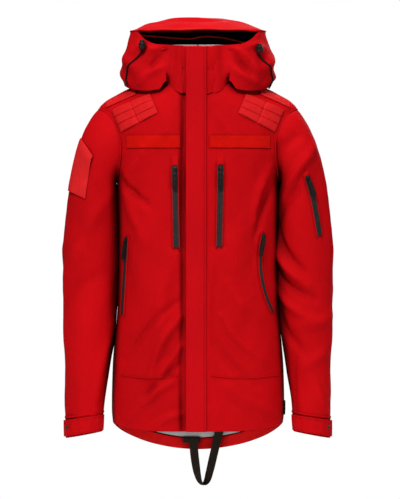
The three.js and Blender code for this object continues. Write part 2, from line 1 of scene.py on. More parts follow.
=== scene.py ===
"""Looks of the foul weather jacket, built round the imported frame.

Blender's unit is the metre. Shapes are worked out in millimetres, in the frame of the CAD model: +Z is up,
the front faces -Y, the wearer's left side is +X and the origin is the hanger loop at the back of the neck.
"""
import math
import bpy
import numpy as np
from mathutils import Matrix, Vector


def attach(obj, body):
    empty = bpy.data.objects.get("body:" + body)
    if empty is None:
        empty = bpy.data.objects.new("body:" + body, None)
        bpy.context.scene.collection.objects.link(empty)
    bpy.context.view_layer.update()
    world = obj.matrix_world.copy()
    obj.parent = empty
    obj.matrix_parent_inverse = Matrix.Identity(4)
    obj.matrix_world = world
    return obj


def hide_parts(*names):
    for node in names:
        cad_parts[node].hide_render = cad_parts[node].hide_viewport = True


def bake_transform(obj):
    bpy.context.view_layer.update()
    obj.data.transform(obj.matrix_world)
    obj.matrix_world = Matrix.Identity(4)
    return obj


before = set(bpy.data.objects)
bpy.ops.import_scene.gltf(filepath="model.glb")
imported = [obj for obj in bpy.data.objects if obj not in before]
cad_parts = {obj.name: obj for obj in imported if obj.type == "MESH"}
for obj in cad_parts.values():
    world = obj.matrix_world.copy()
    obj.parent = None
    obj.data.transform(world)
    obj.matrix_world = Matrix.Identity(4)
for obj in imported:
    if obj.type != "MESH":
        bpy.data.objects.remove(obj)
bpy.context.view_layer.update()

MM = 0.001
TURN = 2 * math.pi
SIDES = (("right", -1), ("left", 1))

# Driving dimensions shared with the CAD model, in millimetres
RIDGE_Y = -62
FRONT_TOP_Y, FRONT_TOP_Z = -172, 63
FRONT_BOTTOM_Y, FRONT_BOTTOM_Z = -190, -739
FRONT_HEM_Z, SIDE_HEM_Z, BACK_HEM_Z = -738, -722, -784
ZIP_EDGE_X = 14.2
NECK_HALF_WIDTH, NECK_FRONT_Z = 74, -42
COLLAR_Y, COLLAR_FRONT_Z = -75, 63
ARMHOLE_Z, ARMHOLE_HEIGHT, ARMHOLE_DEPTH, ARMHOLE_LIFT = -142, 76, 70, 0.6
HOOD_Y, HOOD_FRONT_DEPTH = -45, 112
CROWN_RING_Z, CROWN_RISE = 97, 28
CLOTH = 1.2


# ---------------------------------------------------------------- numbers and points

def smooth(value, low, high):
    t = np.clip((value - low) / (high - low), 0, 1)
    return t * t * (3 - 2 * t)


def lerp(a, b, t):
    return a + (b - a) * t


def bell(distance, width):
    return np.exp(-((distance / width) ** 2))


def beyond(value, low, high):
    """How far a value lies outside a range."""
    return np.maximum(np.maximum(low - value, value - high), 0)


def points(x, y, z):
    return np.stack(np.broadcast_arrays(np.asarray(x, float), y, z), axis=-1)


def unit(vectors):
    return vectors / np.maximum(np.linalg.norm(vectors, axis=-1, keepdims=True), 1e-9)


def away_from(point, middle_y):
    """The level direction from the line x = 0, y = middle_y to each point."""
    outward = point - np.array([0, middle_y, 0])
    outward[..., 2] = 0
    return unit(outward)


def run_along(path):
    """The length of a path up to each of its points."""
    return np.concatenate([[0], np.cumsum(np.linalg.norm(np.diff(path, axis=0), axis=1))])


def shares(rows, columns):
    """Two grids of shares from 0 to 1: u along the columns and v along the rows."""
    return np.meshgrid(np.linspace(0, 1, columns + 1), np.linspace(0, 1, rows + 1))


def profile(knots):
    """A monotone cubic through (position, value) knots given in rising order of position."""
    at, value = np.array(knots, float).T
    slope = np.diff(value) / np.diff(at)
    before = np.concatenate([slope[:1], slope])
    after = np.concatenate([slope, slope[-1:]])
    product = before * after
    total = np.where(before + after == 0, 1, before + after)
    tangent = np.where(product <= 0, 0, 2 * product / total)

    def curve(position):
        p = np.clip(position, at[0], at[-1])
        i = np.clip(np.searchsorted(at, p, side="left") - 1, 0, len(at) - 2)
        span = at[i + 1] - at[i]
        t = (p - at[i]) / span
        return (value[i] * (2 * t**3 - 3 * t**2 + 1) + value[i + 1] * (3 * t**2 - 2 * t**3)
                + tangent[i] * span * (t**3 - 2 * t**2 + t) + tangent[i + 1] * span * (t**3 - t**2))
    return curve


def evenly(values):
    """A profile through values spread evenly from 0 to 1."""
    return profile(list(zip(np.linspace(0, 1, len(values)), values)))


# ---------------------------------------------------------------- surfaces

half_width = profile([
    (-784, 169), (-740, 176), (-690, 181), (-605, 179), (-465, 168), (-345, 166), (-255, 168), (-215, 171),
    (-190, 176), (-150, 186), (-100, 200), (-66, 208), (-50, 195), (-34, 168), (-25, 151), (-10, 110),
    (0, 74)])
back_depth = profile([
    (-784, 116), (-600, 110), (-420, 106), (-300, 114), (-180, 116), (-100, 104), (-50, 90), (0, 76)])
front_crown = profile([(-160, 2.6), (-110, 2.3), (-66, 1.8), (-30, 1.5)])
front_corner = profile([(-160, 2.4), (-110, 2.0), (-66, 1.4), (-30, 1.1)])
back_crown = profile([(-110, 2.2), (-60, 1.8)])
back_corner = profile([(-110, 2.0), (-60, 1.3)])


def front_line_y(z):
    return lerp(FRONT_TOP_Y, FRONT_BOTTOM_Y, (z - FRONT_TOP_Z) / (FRONT_BOTTOM_Z - FRONT_TOP_Z))


def level_cut(z, is_front):
    """Depth from the ridge, and the two powers that round it, of a level cut of the torso."""
    return (np.where(is_front, RIDGE_Y - front_line_y(z), back_depth(z)),
            np.where(is_front, front_crown(z), back_crown(z)),
            np.where(is_front, front_corner(z), back_corner(z)))


def torso_across(x, z, is_front, inset=0.0):
    depth, crown, corner = level_cut(z, is_front)
    share = np.minimum(np.abs(x) / (half_width(z) - inset), 1)
    reach = (depth - inset) * (1 - share**crown) ** (1 / corner)
    return points(x, RIDGE_Y + np.where(is_front, -reach, reach), z)


def torso_point(angle, z, inset=0.0):
    x = (half_width(z) - inset) * np.sin(angle)
    return torso_across(x, z, np.cos(angle) >= 0, inset)


def torso_side_x(y, z):
    depth, crown, corner = level_cut(z, y < RIDGE_Y)
    share = np.minimum(np.abs(y - RIDGE_Y) / depth, 1)
    return half_width(z) * (1 - share**corner) ** (1 / crown)


def hem_z(angle):
    back = np.maximum(-np.cos(angle), 0)
    front = lerp(FRONT_HEM_Z, SIDE_HEM_Z, np.abs(np.sin(angle)) ** 6)
    return np.where(np.cos(angle) >= 0, front, lerp(SIDE_HEM_Z, BACK_HEM_Z, back**1.3))


def side_angle(z, is_front):
    rise = np.clip((z - ARMHOLE_Z) / ARMHOLE_HEIGHT, -1, 1)
    reach = ARMHOLE_DEPTH * np.sqrt(1 - rise * rise) + 0.4
    y = RIDGE_Y + (-reach if is_front else reach)
    from_front = np.arcsin(np.minimum(torso_side_x(y, z) / half_width(z), 1))
    return from_front if is_front else math.pi - from_front


def front_start_angle(z):
    above = np.maximum(z - NECK_FRONT_Z, 0) / -NECK_FRONT_Z
    neck = NECK_HALF_WIDTH * np.sqrt(above) + 0.4 * (above > 0)
    return np.arcsin(np.minimum(np.maximum(ZIP_EDGE_X, neck) / half_width(z), 0.98))


def collar_point(angle, share, inset=0.0):
    front = np.maximum(np.cos(angle), 0)
    is_front = np.cos(angle) >= 0
    x = NECK_HALF_WIDTH * np.sin(angle)
    base = torso_across(x, NECK_FRONT_Z * front * front, is_front)
    power = np.where(is_front, 2.4, 2.2)
    around = (1 - np.minimum(np.abs(np.sin(angle)), 1) ** power) ** 0.5
    top_y = -80 + np.where(is_front, -92, 82) * around
    top = points(x, top_y, COLLAR_FRONT_Z + 3 * (1 - np.cos(angle)))
    point = lerp(base, top, np.asarray(share)[..., None])
    return point - away_from(point, COLLAR_Y) * inset


# Outer x, outer z, inner x, inner z, centre y and half depth of each sleeve ring
SLEEVE_STATIONS = [
    (208, -66, 171.5, -218, -62, 70), (222, -78, 170.5, -224, -62, 70), (237, -104, 169.5, -232, -62, 69),
    (250, -140, 168.5, -244, -62, 67), (261, -184, 167, -262, -62, 65), (271, -236, 165.5, -290, -63, 63),
    (278, -300, 164.5, -330, -64, 61), (282, -366, 164.5, -378, -65, 60), (283, -426, 166, -426, -66, 59),
    (282, -520, 172, -520, -72, 56), (279, -605, 184, -605, -82, 52), (278, -694, 196, -683, -92, 47),
    (277, -754, 200, -740, -98, 45)]
ELBOW_STATION, CUFF_STATION = 8, 12
SLEEVE_RADIUS = 55
sleeve_profiles = [profile(list(enumerate(column))) for column in zip(*SLEEVE_STATIONS)]


def sleeve_point(side, station, angle, grow=0.0):
    """Angle 0 is the sleeve's outer edge, 90 degrees its front and 180 degrees its inner edge."""
    outer_x, outer_z, inner_x, inner_z, centre_y, half_depth = (at(station) for at in sleeve_profiles)
    wide = np.hypot(outer_x - inner_x, outer_z - inner_z)
    reach = np.cos(angle) / 2 * (1 + 2 * grow / wide)
    x = (outer_x + inner_x) / 2 + (outer_x - inner_x) * reach
    z = (outer_z + inner_z) / 2 + (outer_z - inner_z) * reach
    ring = points(x, centre_y - (half_depth + grow) * np.sin(angle), z)
    hole_z = ARMHOLE_Z + ARMHOLE_HEIGHT * np.cos(angle)
    hole_y = RIDGE_Y - ARMHOLE_DEPTH * np.sin(angle)
    hole = points(torso_side_x(hole_y, hole_z) + ARMHOLE_LIFT, hole_y, hole_z)
    point = lerp(hole, ring, smooth(station, 0, 3)[..., None])
    point[..., 0] *= side
    return point


def sleeve_outward(side, station, angle):
    """Points of a sleeve's surface and the directions out of it."""
    point = sleeve_point(side, station, angle)
    return point, unit(point - sleeve_point(side, station, angle, grow=-5))


hood_half_width = profile([(-28, 148), (-14, 155), (8, 158), (34, 157), (60, 152), (84, 146), (97, 142)])
hood_back_depth = profile([(0, 60), (12, 84), (25, 106), (45, 126), (70, 133), (97, 122)])
hood_rim = profile([(12, -36), (18, -31), (21.5, -20), (24, -8), (33, -26), (45, -29), (62, -27), (90, -14),
                    (120, -4), (150, 4), (180, 4)])
hood_lip = profile([(12, 64.5), (23, 66), (35, 68), (45, 75), (53, 84), (60, 93), (66, 98.2), (180, 98.2)])


def hood_point(degrees, z, inset=0.0):
    angle = np.radians(degrees)
    depth = np.where(np.cos(angle) >= 0, inset - HOOD_FRONT_DEPTH, hood_back_depth(z) - inset)
    across = np.sin(angle)
    around = (1 - np.minimum(np.abs(across), 1) ** 2.6) ** 0.4
    return points((hood_half_width(z) - inset) * across, HOOD_Y + depth * around, z)


def hood_outward(degrees, z):
    """A point of the hood and the level direction away from the middle of the hood."""
    base = hood_point(degrees, z)
    return base, away_from(base, HOOD_Y)


def disc_shares(u, v):
    """Turns a square of shares into a disc: the distances across and along, and the distance out."""
    a, b = 2 * u - 1, 2 * v - 1
    across = a * np.sqrt(1 - b * b / 2)
    along = b * np.sqrt(1 - a * a / 2)
    return across, along, np.minimum(np.hypot(across, along), 1)


def crown_point(u, v):
    across, along, radius = disc_shares(u, v)
    rim = hood_point(np.degrees(np.arctan2(across, -along)), CROWN_RING_Z)
    height = CROWN_RING_Z + 1 + CROWN_RISE * (1 - radius * radius) ** 0.92
    return points(rim[..., 0] * radius, lerp(HOOD_Y, rim[..., 1], radius), height)


# ---------------------------------------------------------------- cloth relief

FOLD_DEPTH = 2.1


def folds(x, z, table):
    """Adds up soft ridges and hollows: each runs from (x0, z0) to (x1, z1) with a width and a height."""
    total = np.zeros(np.broadcast(x, z).shape)
    for x0, z0, x1, z1, width, height in table:
        run = np.hypot(x1 - x0, z1 - z0)
        ux, uz = (x1 - x0) / run, (z1 - z0) / run
        along = (x - x0) * ux + (z - z0) * uz
        lead = np.clip(along / run, 0, 1)
        bend = 0.06 * run * np.sin(math.pi * lead)
        across = -(x - x0) * uz + (z - z0) * ux + bend
        taper = 0.35 + 0.65 * np.sin(math.pi * np.clip(lead, 0.08, 0.92))
        total = total + height * taper * bell(across, width) * bell(beyond(along, 0, run), 1.6 * width)
    return FOLD_DEPTH * total


# Length, direction, start and height of each wave of the crumple
WAVES = [(31, 0.7, 0.4, 1.0), (53, 1.9, 2.1, 0.8), (19, 2.6, 4.0, 0.45), (23, 0.2, 5.2, 0.5),
         (13, 1.2, 1.1, 0.22), (11, 2.2, 3.3, 0.18), (79, 2.9, 0.9, 1.1)]


def crumple(a, b, seed=0.0):
    """Uneven small relief of worn laminate: waves that bend each other."""
    total = np.zeros(np.broadcast(a, b).shape)
    warp = 9 * np.sin(a / 47 + seed) + 7 * np.sin(b / 61 + 2 * seed)
    for size, turn, start, height in WAVES:
        phase = (a * math.cos(turn) + b * math.sin(turn) + warp) / size * 2 + start + seed
        total = total + height * np.sin(phase) * np.cos(0.37 * phase + a / 90 - b / 120)
    return total


FRONT_FOLDS = [
    (-36, -500, -100, -622, 9, 5.0), (-34, -560, -92, -668, 8, 4.0), (-60, -640, -140, -712, 9, 4.2),
    (-44, -470, -150, -590, 8, -3.2), (-40, -600, -120, -690, 7, -3.4), (-48, -420, -44, -690, 15, -2.2),
    (-60, -380, -72, -560, 20, 4.0), (-110, -300, -96, -520, 26, 3.4), (-150, -210, -120, -330, 10, 3.0),
    (-172, -196, -110, -262, 8, -4.4), (-120, -160, -150, -240, 9, 2.6), (50, -500, 128, -590, 9, 3.6),
    (40, -560, 120, -640, 10, -3.0), (60, -430, 120, -500, 12, 2.6), (28, -380, 40, -700, 12, 2.8),
    (90, -300, 84, -470, 24, 3.2), (150, -190, 118, -300, 9, 3.2), (172, -200, 124, -330, 9, -4.6),
    (70, -650, 160, -700, 12, 2.4), (-30, -700, -90, -730, 8, 2.6), (-60, -110, -120, -180, 14, 1.8),
    (62, -95, 110, -180, 14, 1.8), (36, -60, 60, -110, 9, 3.0), (-40, -50, -66, -110, 9, 3.0)]
BACK_FOLDS = [
    (-120, -120, -40, -200, 14, 3.5), (120, -120, 40, -200, 14, 3.5), (-140, -230, -70, -330, 12, 3.4),
    (140, -230, 70, -330, 12, 3.4), (-90, -420, 60, -470, 13, 3.5), (100, -430, -40, -500, 12, -3.0),
    (-60, -520, -90, -740, 22, 4.0), (60, -520, 84, -740, 22, 4.0), (0, -300, 6, -720, 26, -3.4),
    (-130, -380, -50, -440, 11, 2.8), (130, -390, 60, -450, 11, 2.8)]
SLEEVE_FOLDS = [
    (-56, -124, -154, -224, 8, -4.6), (-36, -150, -130, -252, 11, 4.4), (-60, -214, -158, -306, 12, -3.0),
    (-100, -520, -30, -500, 12, 2.8), (-90, -600, -30, -560, 13, 2.6), (-20, -180, -10, -360, 16, 2.6),
    (-70, -640, -40, -700, 10, 2.6), (-110, -560, -140, -690, 12, -2.4), (60, -360, 20, -440, 14, 3.0),
    (90, -420, 20, -480, 14, -3.0), (120, -250, 60, -360, 16, 3.2), (150, -520, 120, -700, 14, 2.6)]
# Elbow creases run down to the body on the wearer's right sleeve and away from it on the left one
ELBOW_FOLDS = {
    -1: [(-60, -322, -160, -392, 9, 4.6), (-50, -360, -160, -430, 8, -4.8), (-64, -400, -160, -462, 8, 4.6),
         (-80, -440, -165, -505, 9, -4.0), (-96, -480, -165, -560, 11, 3.4)],
    1: [(-166, -300, -96, -400, 9, -5.2), (-166, -342, -84, -436, 9, 5.2), (-168, -396, -70, -462, 7, -4.4),
        (-166, -430, -80, -506, 9, 4.2), (-160, -486, -100, -570, 11, -3.2)]}
# The hood's folds are laid out by its angle, 2.4 mm for each degree, and the height
HOOD_FOLDS = [
    (60, 80, 110, 30, 10, 3.4), (62, 20, 120, -10, 9, 3.0), (90, 70, 160, 60, 12, 3.2),
    (66, 52, 104, 8, 7, -2.8), (130, 20, 220, 50, 14, 3.6), (180, -5, 260, 20, 12, 3.0),
    (230, 80, 300, 40, 14, -3.4), (300, 20, 380, 60, 14, 3.6), (-60, 76, -118, 34, 10, 3.4),
    (-58, 22, -124, -12, 9, 3.2), (-92, 66, -150, 54, 12, 3.0), (-64, 50, -100, 6, 7, -2.8),
    (-130, 16, -220, 44, 14, 3.4), (-190, -4, -270, 24, 12, 3.0), (330, 70, 430, 40, 15, 4.0),
    (340, 20, 460, 6, 13, 3.6), (400, 60, 520, 84, 14, -3.2), (430, 30, 540, 50, 13, 3.6),
    (480, 6, 580, 26, 12, 3.0)]
CROWN_FOLDS = [
    (-110, -60, 60, -85, 13, 4.0), (-60, -110, 90, -70, 12, -3.4), (-120, -10, -10, -40, 14, 4.0),
    (20, -30, 125, -60, 14, 3.6), (-90, 40, 40, 20, 16, -3.6), (-20, 60, 110, 20, 16, 3.6),
    (-130, -40, -60, -110, 10, 3.0), (70, -20, 130, 30, 14, -3.0)]

# Each front zip's x at its top, middle and bottom, its z at both ends and half the width of its tape
FRONT_ZIPS = {
    "chest_zip_right": dict(side=-1, x=(48, 46.5, 45), z=(-186, -356), half=6.5),
    "chest_zip_left": dict(side=1, x=(47, 45.5, 44), z=(-184, -354), half=6.5),
    "hand_zip_right": dict(side=-1, x=(148, 153, 158), z=(-334, -495), half=3.5),
    "hand_zip_left": dict(side=1, x=(136, 131, 155), z=(-328, -490), half=3.5),
}
SLEEVE_ZIP_STATIONS, SLEEVE_ZIP_ANGLES, SLEEVE_ZIP_HALF = (3.9, 6.4), (1.27, 0.99), 6
PATCH_STATIONS, PATCH_ANGLES = (2.7, 5), (-0.35, 1.25)


def quadratic(values, t):
    start, middle, end = values
    control = 2 * middle - (start + end) / 2
    return (1 - t) ** 2 * start + 2 * t * (1 - t) * control + t * t * end


def zip_mask(x, z, data):
    """0 on a front zip's line, so that the shell lies flat under its hardware, and 1 away from it."""
    top, bottom = data["z"]
    centre = data["side"] * quadratic(data["x"], np.clip((z - top) / (bottom - top), 0, 1))
    return smooth(np.abs(x - centre) + beyond(z, bottom, top), 8, 17)


def flap_gutter(x, z):
    """The right front panel turns in beside the storm flap's free edge."""
    centre = -31 - 1.2 * np.sin(z / 57)
    depth = 9.0 + 1.6 * np.sin(z / 41 + 0.6)
    soft = 2.6 * smooth(-z, 330, 560) * bell(x + 44, 15)
    return -depth * bell(x - centre, 7.5) - soft


def front_relief(x, z):
    mask = smooth(np.abs(x - 1), 14, 24)
    for data in FRONT_ZIPS.values():
        mask = mask * zip_mask(x, z, data)
    edge = 1 - 0.8 * smooth(np.abs(x), 0.86 * half_width(z), half_width(z))
    quiet = 1 - 0.75 * smooth(z, -170, -60)
    loose = folds(x, z, FRONT_FOLDS) + 0.9 * crumple(x, z)
    return mask * edge * quiet * loose + flap_gutter(x, z) - 0.2


def back_relief(x, z):
    edge = 1 - 0.85 * smooth(np.abs(x), 0.8 * half_width(z), half_width(z))
    neck = 1 - 0.8 * smooth(z, -60, -10)
    return edge * neck * (folds(x, z, BACK_FOLDS) + 0.8 * crumple(x, z, 1.7)) - 0.2


def sleeve_relief(side, station, angle):
    """Folds on a sleeve, laid out by the distance round from its outer edge and the height.

    They lie flat round the zip of the left sleeve and the patch of the right one.
    """
    wrapped = (angle + math.pi) % TURN - math.pi
    around = -wrapped * SLEEVE_RADIUS
    height = sleeve_point(1, station, angle)[..., 2]
    fade = smooth(station, 0, 0.6) * (1 - smooth(station, 11.2, 11.7))
    seam = smooth(math.pi - np.abs(wrapped), 0.02, 0.4)
    if side > 0:
        first, last = SLEEVE_ZIP_STATIONS
        run = (station - first) / (last - first)
        line = lerp(*SLEEVE_ZIP_ANGLES, np.clip(run, 0, 1))
        flat = smooth(np.abs(wrapped - line) * SLEEVE_RADIUS + 110 * beyond(run, 0, 1), 8, 30)
    else:
        outside = 50 * beyond(station, *PATCH_STATIONS) + SLEEVE_RADIUS * beyond(wrapped, *PATCH_ANGLES)
        flat = 0.3 + 0.7 * smooth(outside, 0, 22)
    creases = folds(around, height, SLEEVE_FOLDS + ELBOW_FOLDS[side])
    fine = 0.75 * crumple(around + 300 * side, height, 0.8 + side)
    return fade * flat * (0.35 + 0.65 * seam) * (creases + fine)


def hood_relief(degrees, z):
    """Slumped hood: soft dents and ridges that lean round the cheeks."""
    around = np.asarray(degrees, float) * 2.4
    return folds(around, z, HOOD_FOLDS) + 0.8 * crumple(around, z * 1.4, 3.1)


def hood_height(degrees, folded, z):
    """The relief of the hood's outside, which lies flat at its edges and under its cord locks."""
    share = (z - hood_rim(folded)) / (hood_lip(folded) - hood_rim(folded))
    hems = smooth(share, 0, 0.16) * (1 - 0.8 * smooth(share, 0.86, 1))
    front = 0.25 + 0.75 * smooth(folded, 16, 34)
    locks = 1 - bell(folded - 49, 7) * bell(z - 54, 15)
    return hood_relief(degrees, z) * hems * front * locks


def crown_relief(x, y, edge):
    """The top of the hood sags between soft ridges that run from side to side."""
    loose = 0.45 * folds(x, y, CROWN_FOLDS) + 0.7 * crumple(x * 0.9, y * 0.9, 0.9)
    return loose * smooth(1 - edge, 0.0, 0.35)


def collar_bulge(angle, share):
    """Two puffed bands round the collar with stitching between them, and a few upright creases."""
    bands = 1.6 * np.sqrt(np.abs(np.sin(TURN * np.clip(share, 0, 1)))) * smooth(share, 0.02, 0.3)
    creases = 0.9 * np.sin(angle * 17 + 2 * np.sin(angle * 5)) * bell(share - 0.5, 0.35)
    return bands + creases * smooth(np.abs(angle), 0.25, 0.6) - 0.6 * smooth(share, 0, 0.3)


def stitched_edge(u, v, width, height, inset):
    """The line that a row of stitches presses into a patch, a little inside its edge."""
    edge = np.minimum(np.minimum(u, 1 - u) * width, np.minimum(v, 1 - v) * height)
    return -0.5 * bell(edge - inset, 0.8)


# ---------------------------------------------------------------- meshes

def patch_normals(grid, wrap=False):
    if wrap:
        along = np.roll(grid, -1, axis=1) - np.roll(grid, 1, axis=1)
    else:
        along = np.gradient(grid, axis=1)
    return unit(np.cross(along, np.gradient(grid, axis=0)))


def raised(grid, height, wrap=False):
    return grid + patch_normals(grid, wrap) * np.asarray(height)[..., None]


def grid_of(rows, columns, surface, wrap=False):
    u, v = shares(rows, columns)
    if wrap:
        u, v = u[:, :-1], v[:, :-1]
    return surface(u, v)


def new_piece(name, vertices, faces, material, body="jacket_body", node=None):
    """A mesh of the model: the CAD node it replaces and the body it rides on."""
    mesh = bpy.data.meshes.new(name)
    mesh.from_pydata([tuple(v) for v in np.asarray(vertices) * MM], [], faces)
    mesh.materials.append(material)
    mesh.validate()
    mesh.polygons.foreach_set("use_smooth", [True] * len(mesh.polygons))
    obj = bpy.data.objects.new(name, mesh)
    bpy.context.scene.collection.objects.link(obj)
    if node:
        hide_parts(node)
    if body:
        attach(obj, body)
    return obj


def cloth_piece(name, grid, material, node=None, slot="shell", body="jacket_body", thickness=CLOTH, hem=0.8,
                wrap=False, ends=True):
    """A sheet of cloth from a grid of points, a little thicker at its turned edges.

    Without ends, its first and last rows stay open where another piece covers them.
    """
    rows, columns = grid.shape[:2]
    normal = patch_normals(grid, wrap)
    row = np.arange(rows)[:, None]
    column = np.arange(columns)[None, :]
    row_step = np.linalg.norm(np.diff(grid, axis=0), axis=-1).mean()
    column_step = np.linalg.norm(np.diff(grid, axis=1), axis=-1).mean()
    edge = np.minimum(row, rows - 1 - row) * row_step + 0 * column
    if not wrap:
        edge = np.minimum(edge, np.minimum(column, columns - 1 - column) * column_step)
    turned = hem * np.exp(-((edge / 7) ** 4))
    outer = grid + normal * (turned * 0.5)[..., None]
    inner = outer - normal * (thickness + turned)[..., None]
    last = columns if wrap else columns - 1

    def at(sheet, r, c):
        return (sheet * rows + r) * columns + c % columns
    faces = []
    for r in range(rows - 1):
        for c in range(last):
            faces.append((at(0, r, c), at(0, r, c + 1), at(0, r + 1, c + 1), at(0, r + 1, c)))
            faces.append((at(1, r, c), at(1, r + 1, c), at(1, r + 1, c + 1), at(1, r, c + 1)))
    top, end = rows - 1, columns - 1
    for c in range(last if ends else 0):
        faces.append((at(0, 0, c), at(1, 0, c), at(1, 0, c + 1), at(0, 0, c + 1)))
        faces.append((at(0, top, c), at(0, top, c + 1), at(1, top, c + 1), at(1, top, c)))
    for r in range(0 if wrap else top):
        faces.append((at(0, r, 0), at(0, r + 1, 0), at(1, r + 1, 0), at(1, r, 0)))
        faces.append((at(0, r, end), at(1, r, end), at(1, r + 1, end), at(0, r + 1, end)))
    vertices = np.concatenate([outer.reshape(-1, 3), inner.reshape(-1, 3)])
    return new_piece(name, vertices, faces, material, body, node)


def stack_faces(rings, around, first=0):
    """The faces of a stack of rings of vertices, with a flat cap at each end."""
    faces = []
    for r in range(rings - 1):
        for k in range(around):
            a, b = first + r * around + k, first + r * around + (k + 1) % around
            faces.append((a, b, b + around, a + around))
    last = first + (rings - 1) * around
    faces.append(tuple(first + k for k in reversed(range(around))))
    faces.append(tuple(last + k for k in range(around)))
    return faces


def tube(name, path, radius, material, node=None, body="jacket_body", sides=10):
    """A closed round tube along a path."""
    tangents = unit(np.gradient(path, axis=0))
    normal = unit(np.cross(tangents[0], [0.0, 0.0, 1.0]))
    vertices = []
    for point, direction in zip(path, tangents):
        normal = unit(normal - direction * normal.dot(direction))
        other = np.cross(direction, normal)
        for k in range(sides):
            turn = TURN * k / sides
            vertices.append(point + (normal * math.cos(turn) + other * math.sin(turn)) * radius)
    return new_piece(name, vertices, stack_faces(len(path), sides), material, body, node)


def lathe(name, outline, place, material, body, node=None, segments=72, flutes=0, depth=0.0):
    """A turned piece on a frame of origin, across, up and out; flutes groove the marked parts of its wall."""
    origin, across, up, out = place
    vertices = []
    for radius, height, grooved in outline:
        for k in range(segments):
            turn = TURN * k / segments
            r = radius - grooved * depth * (0.5 + 0.5 * math.cos(flutes * turn)) ** 3
            vertices.append(origin + out * height + (across * math.cos(turn) + up * math.sin(turn)) * r)
    return new_piece(name, vertices, stack_faces(len(outline), segments), material, body, node)


def rounded_outline(top_width, bottom_width, top, bottom, corner=2.0, steps=6):
    """A tab's outline, anticlockwise from its lower left corner."""
    corners = [(-bottom_width / 2, bottom, math.pi), (bottom_width / 2, bottom, 1.5 * math.pi),
               (top_width / 2, top, 0.0), (-top_width / 2, top, 0.5 * math.pi)]
    outline = []
    for x, y, start in corners:
        cx = x - math.copysign(corner, x)
        cy = y + corner if y == bottom else y - corner
        for k in range(steps + 1):
            turn = start + k * math.pi / 2 / steps
            outline.append((cx + corner * math.cos(turn), cy + corner * math.sin(turn)))
    return np.array(outline)


def plate(tab, low, high, bevel):
    """Rings of a flat tab with softened edges from its lower to its upper face: (outline, height)."""
    outline = rounded_outline(*tab)
    inward = unit(outline.mean(axis=0) - outline)
    steps = ((bevel, low), (0, low + bevel), (0, high - bevel), (bevel * 0.4, high - bevel * 0.35),
             (bevel, high))
    return [(outline + inward * inset, height) for inset, height in steps]


def plates_piece(name, place, plates, material, body, node):
    """Joins several softened plates into one piece, placed by a frame of origin, across, up and out."""
    origin, across, up, out = place
    vertices, faces = [], []
    for rings in plates:
        faces += stack_faces(len(rings), len(rings[0][0]), len(vertices))
        for ring, height in rings:
            vertices.extend(origin + across * x + up * y + out * height for x, y in ring)
    return new_piece(name, vertices, faces, material, body, node)


def ribbon(name, path, normals, width, lift, material, body="jacket_body"):
    """A narrow raised strip along a path of points: a taped or topstitched seam."""
    across = unit(np.cross(normals, np.gradient(path, axis=0)))
    spread = np.linspace(-0.5, 0.5, 5)
    crown = lift - 0.35 * (2 * spread) ** 4 * lift
    grid = (path[:, None] + across[:, None] * (spread * width)[None, :, None]
            + normals[:, None] * crown[None, :, None])
    if np.mean(np.sum(patch_normals(grid)[:, 2] * normals, axis=-1)) < 0:
        grid = grid[:, ::-1]
    return cloth_piece(name, grid, material, body=body, thickness=0.5, hem=0)


STITCH_PITCH, STITCH_LENGTH, STITCH_RADIUS, STITCH_LIFT = 3.4, 2.2, 0.33, 0.3
STITCH_SIDES = 6


def stitch_row(name, path, normals, body="jacket_body"):
    """A row of thread stitches along a path: each is a small pointed grain lying on the cloth."""
    run = run_along(path)
    centres = np.arange(STITCH_PITCH / 2, run[-1], STITCH_PITCH)

    def sample(values, at):
        return np.stack([np.interp(at, run, values[:, k]) for k in range(3)], axis=1)
    ahead = sample(path, np.minimum(centres + 0.8, run[-1]))
    behind = sample(path, np.maximum(centres - 0.8, 0))
    vertices, faces = [], []
    for centre, tangent, normal in zip(sample(path, centres), unit(ahead - behind), sample(normals, centres)):
        side = unit(np.cross(normal, tangent))
        first = len(vertices)
        middle = centre + normal * STITCH_LIFT
        sunk = middle - normal * STITCH_LIFT * 0.6
        vertices.append(sunk - tangent * STITCH_LENGTH / 2)
        for k in range(STITCH_SIDES):
            turn = TURN * k / STITCH_SIDES
            vertices.append(middle + (side * math.cos(turn) + normal * math.sin(turn)) * STITCH_RADIUS)
        vertices.append(sunk + tangent * STITCH_LENGTH / 2)
        for k in range(STITCH_SIDES):
            here, there = first + 1 + k, first + 1 + (k + 1) % STITCH_SIDES
            faces.append((first, here, there))
            faces.append((first + STITCH_SIDES + 1, there, here))
    return new_piece(name, vertices, faces, red_thread, body=body)


# ---------------------------------------------------------------- camera, light and floor

VIEW_DISTANCE, VIEW_X, VIEW_Z = 10.0, 0.0042, -0.360
VIEW_HEIGHT = 0.84 * 499 / 400
LIT_POINT = Vector((0, 0, -0.35))
WORLD_LIGHT = 0.12
FLOOR_Z = -0.97
# Name, place, size and power of each lamp
LAMPS = [("key", (-0.7, -2.8, 2.6), 0.8, 124), ("right", (3.0, -2.6, 0.0), 1.6, 31),
         ("left", (-3.0, -2.4, -0.2), 1.6, 22), ("top", (0.2, -0.5, 2.6), 1.4, 43),
         ("back", (0.9, 3.2, 1.1), 2.4, 70)]


def make_camera():
    data = bpy.data.cameras.new("camera")
    data.lens = data.sensor_width * VIEW_DISTANCE / VIEW_HEIGHT
    data.clip_end = 60
    camera = bpy.data.objects.new("camera", data)
    camera.location = (VIEW_X, -VIEW_DISTANCE - 0.065, VIEW_Z)
    camera.rotation_euler = (math.pi / 2, 0, 0)
    bpy.context.scene.collection.objects.link(camera)
    bpy.context.scene.camera = camera


def make_lamps():
    for name, location, size, watts in LAMPS:
        data = bpy.data.lights.new(name, "AREA")
        data.size = size
        data.energy = watts
        lamp = bpy.data.objects.new(name, data)
        lamp.location = location
        lamp.rotation_euler = (LIT_POINT - Vector(location)).to_track_quat("-Z", "Y").to_euler()
        bpy.context.scene.collection.objects.link(lamp)


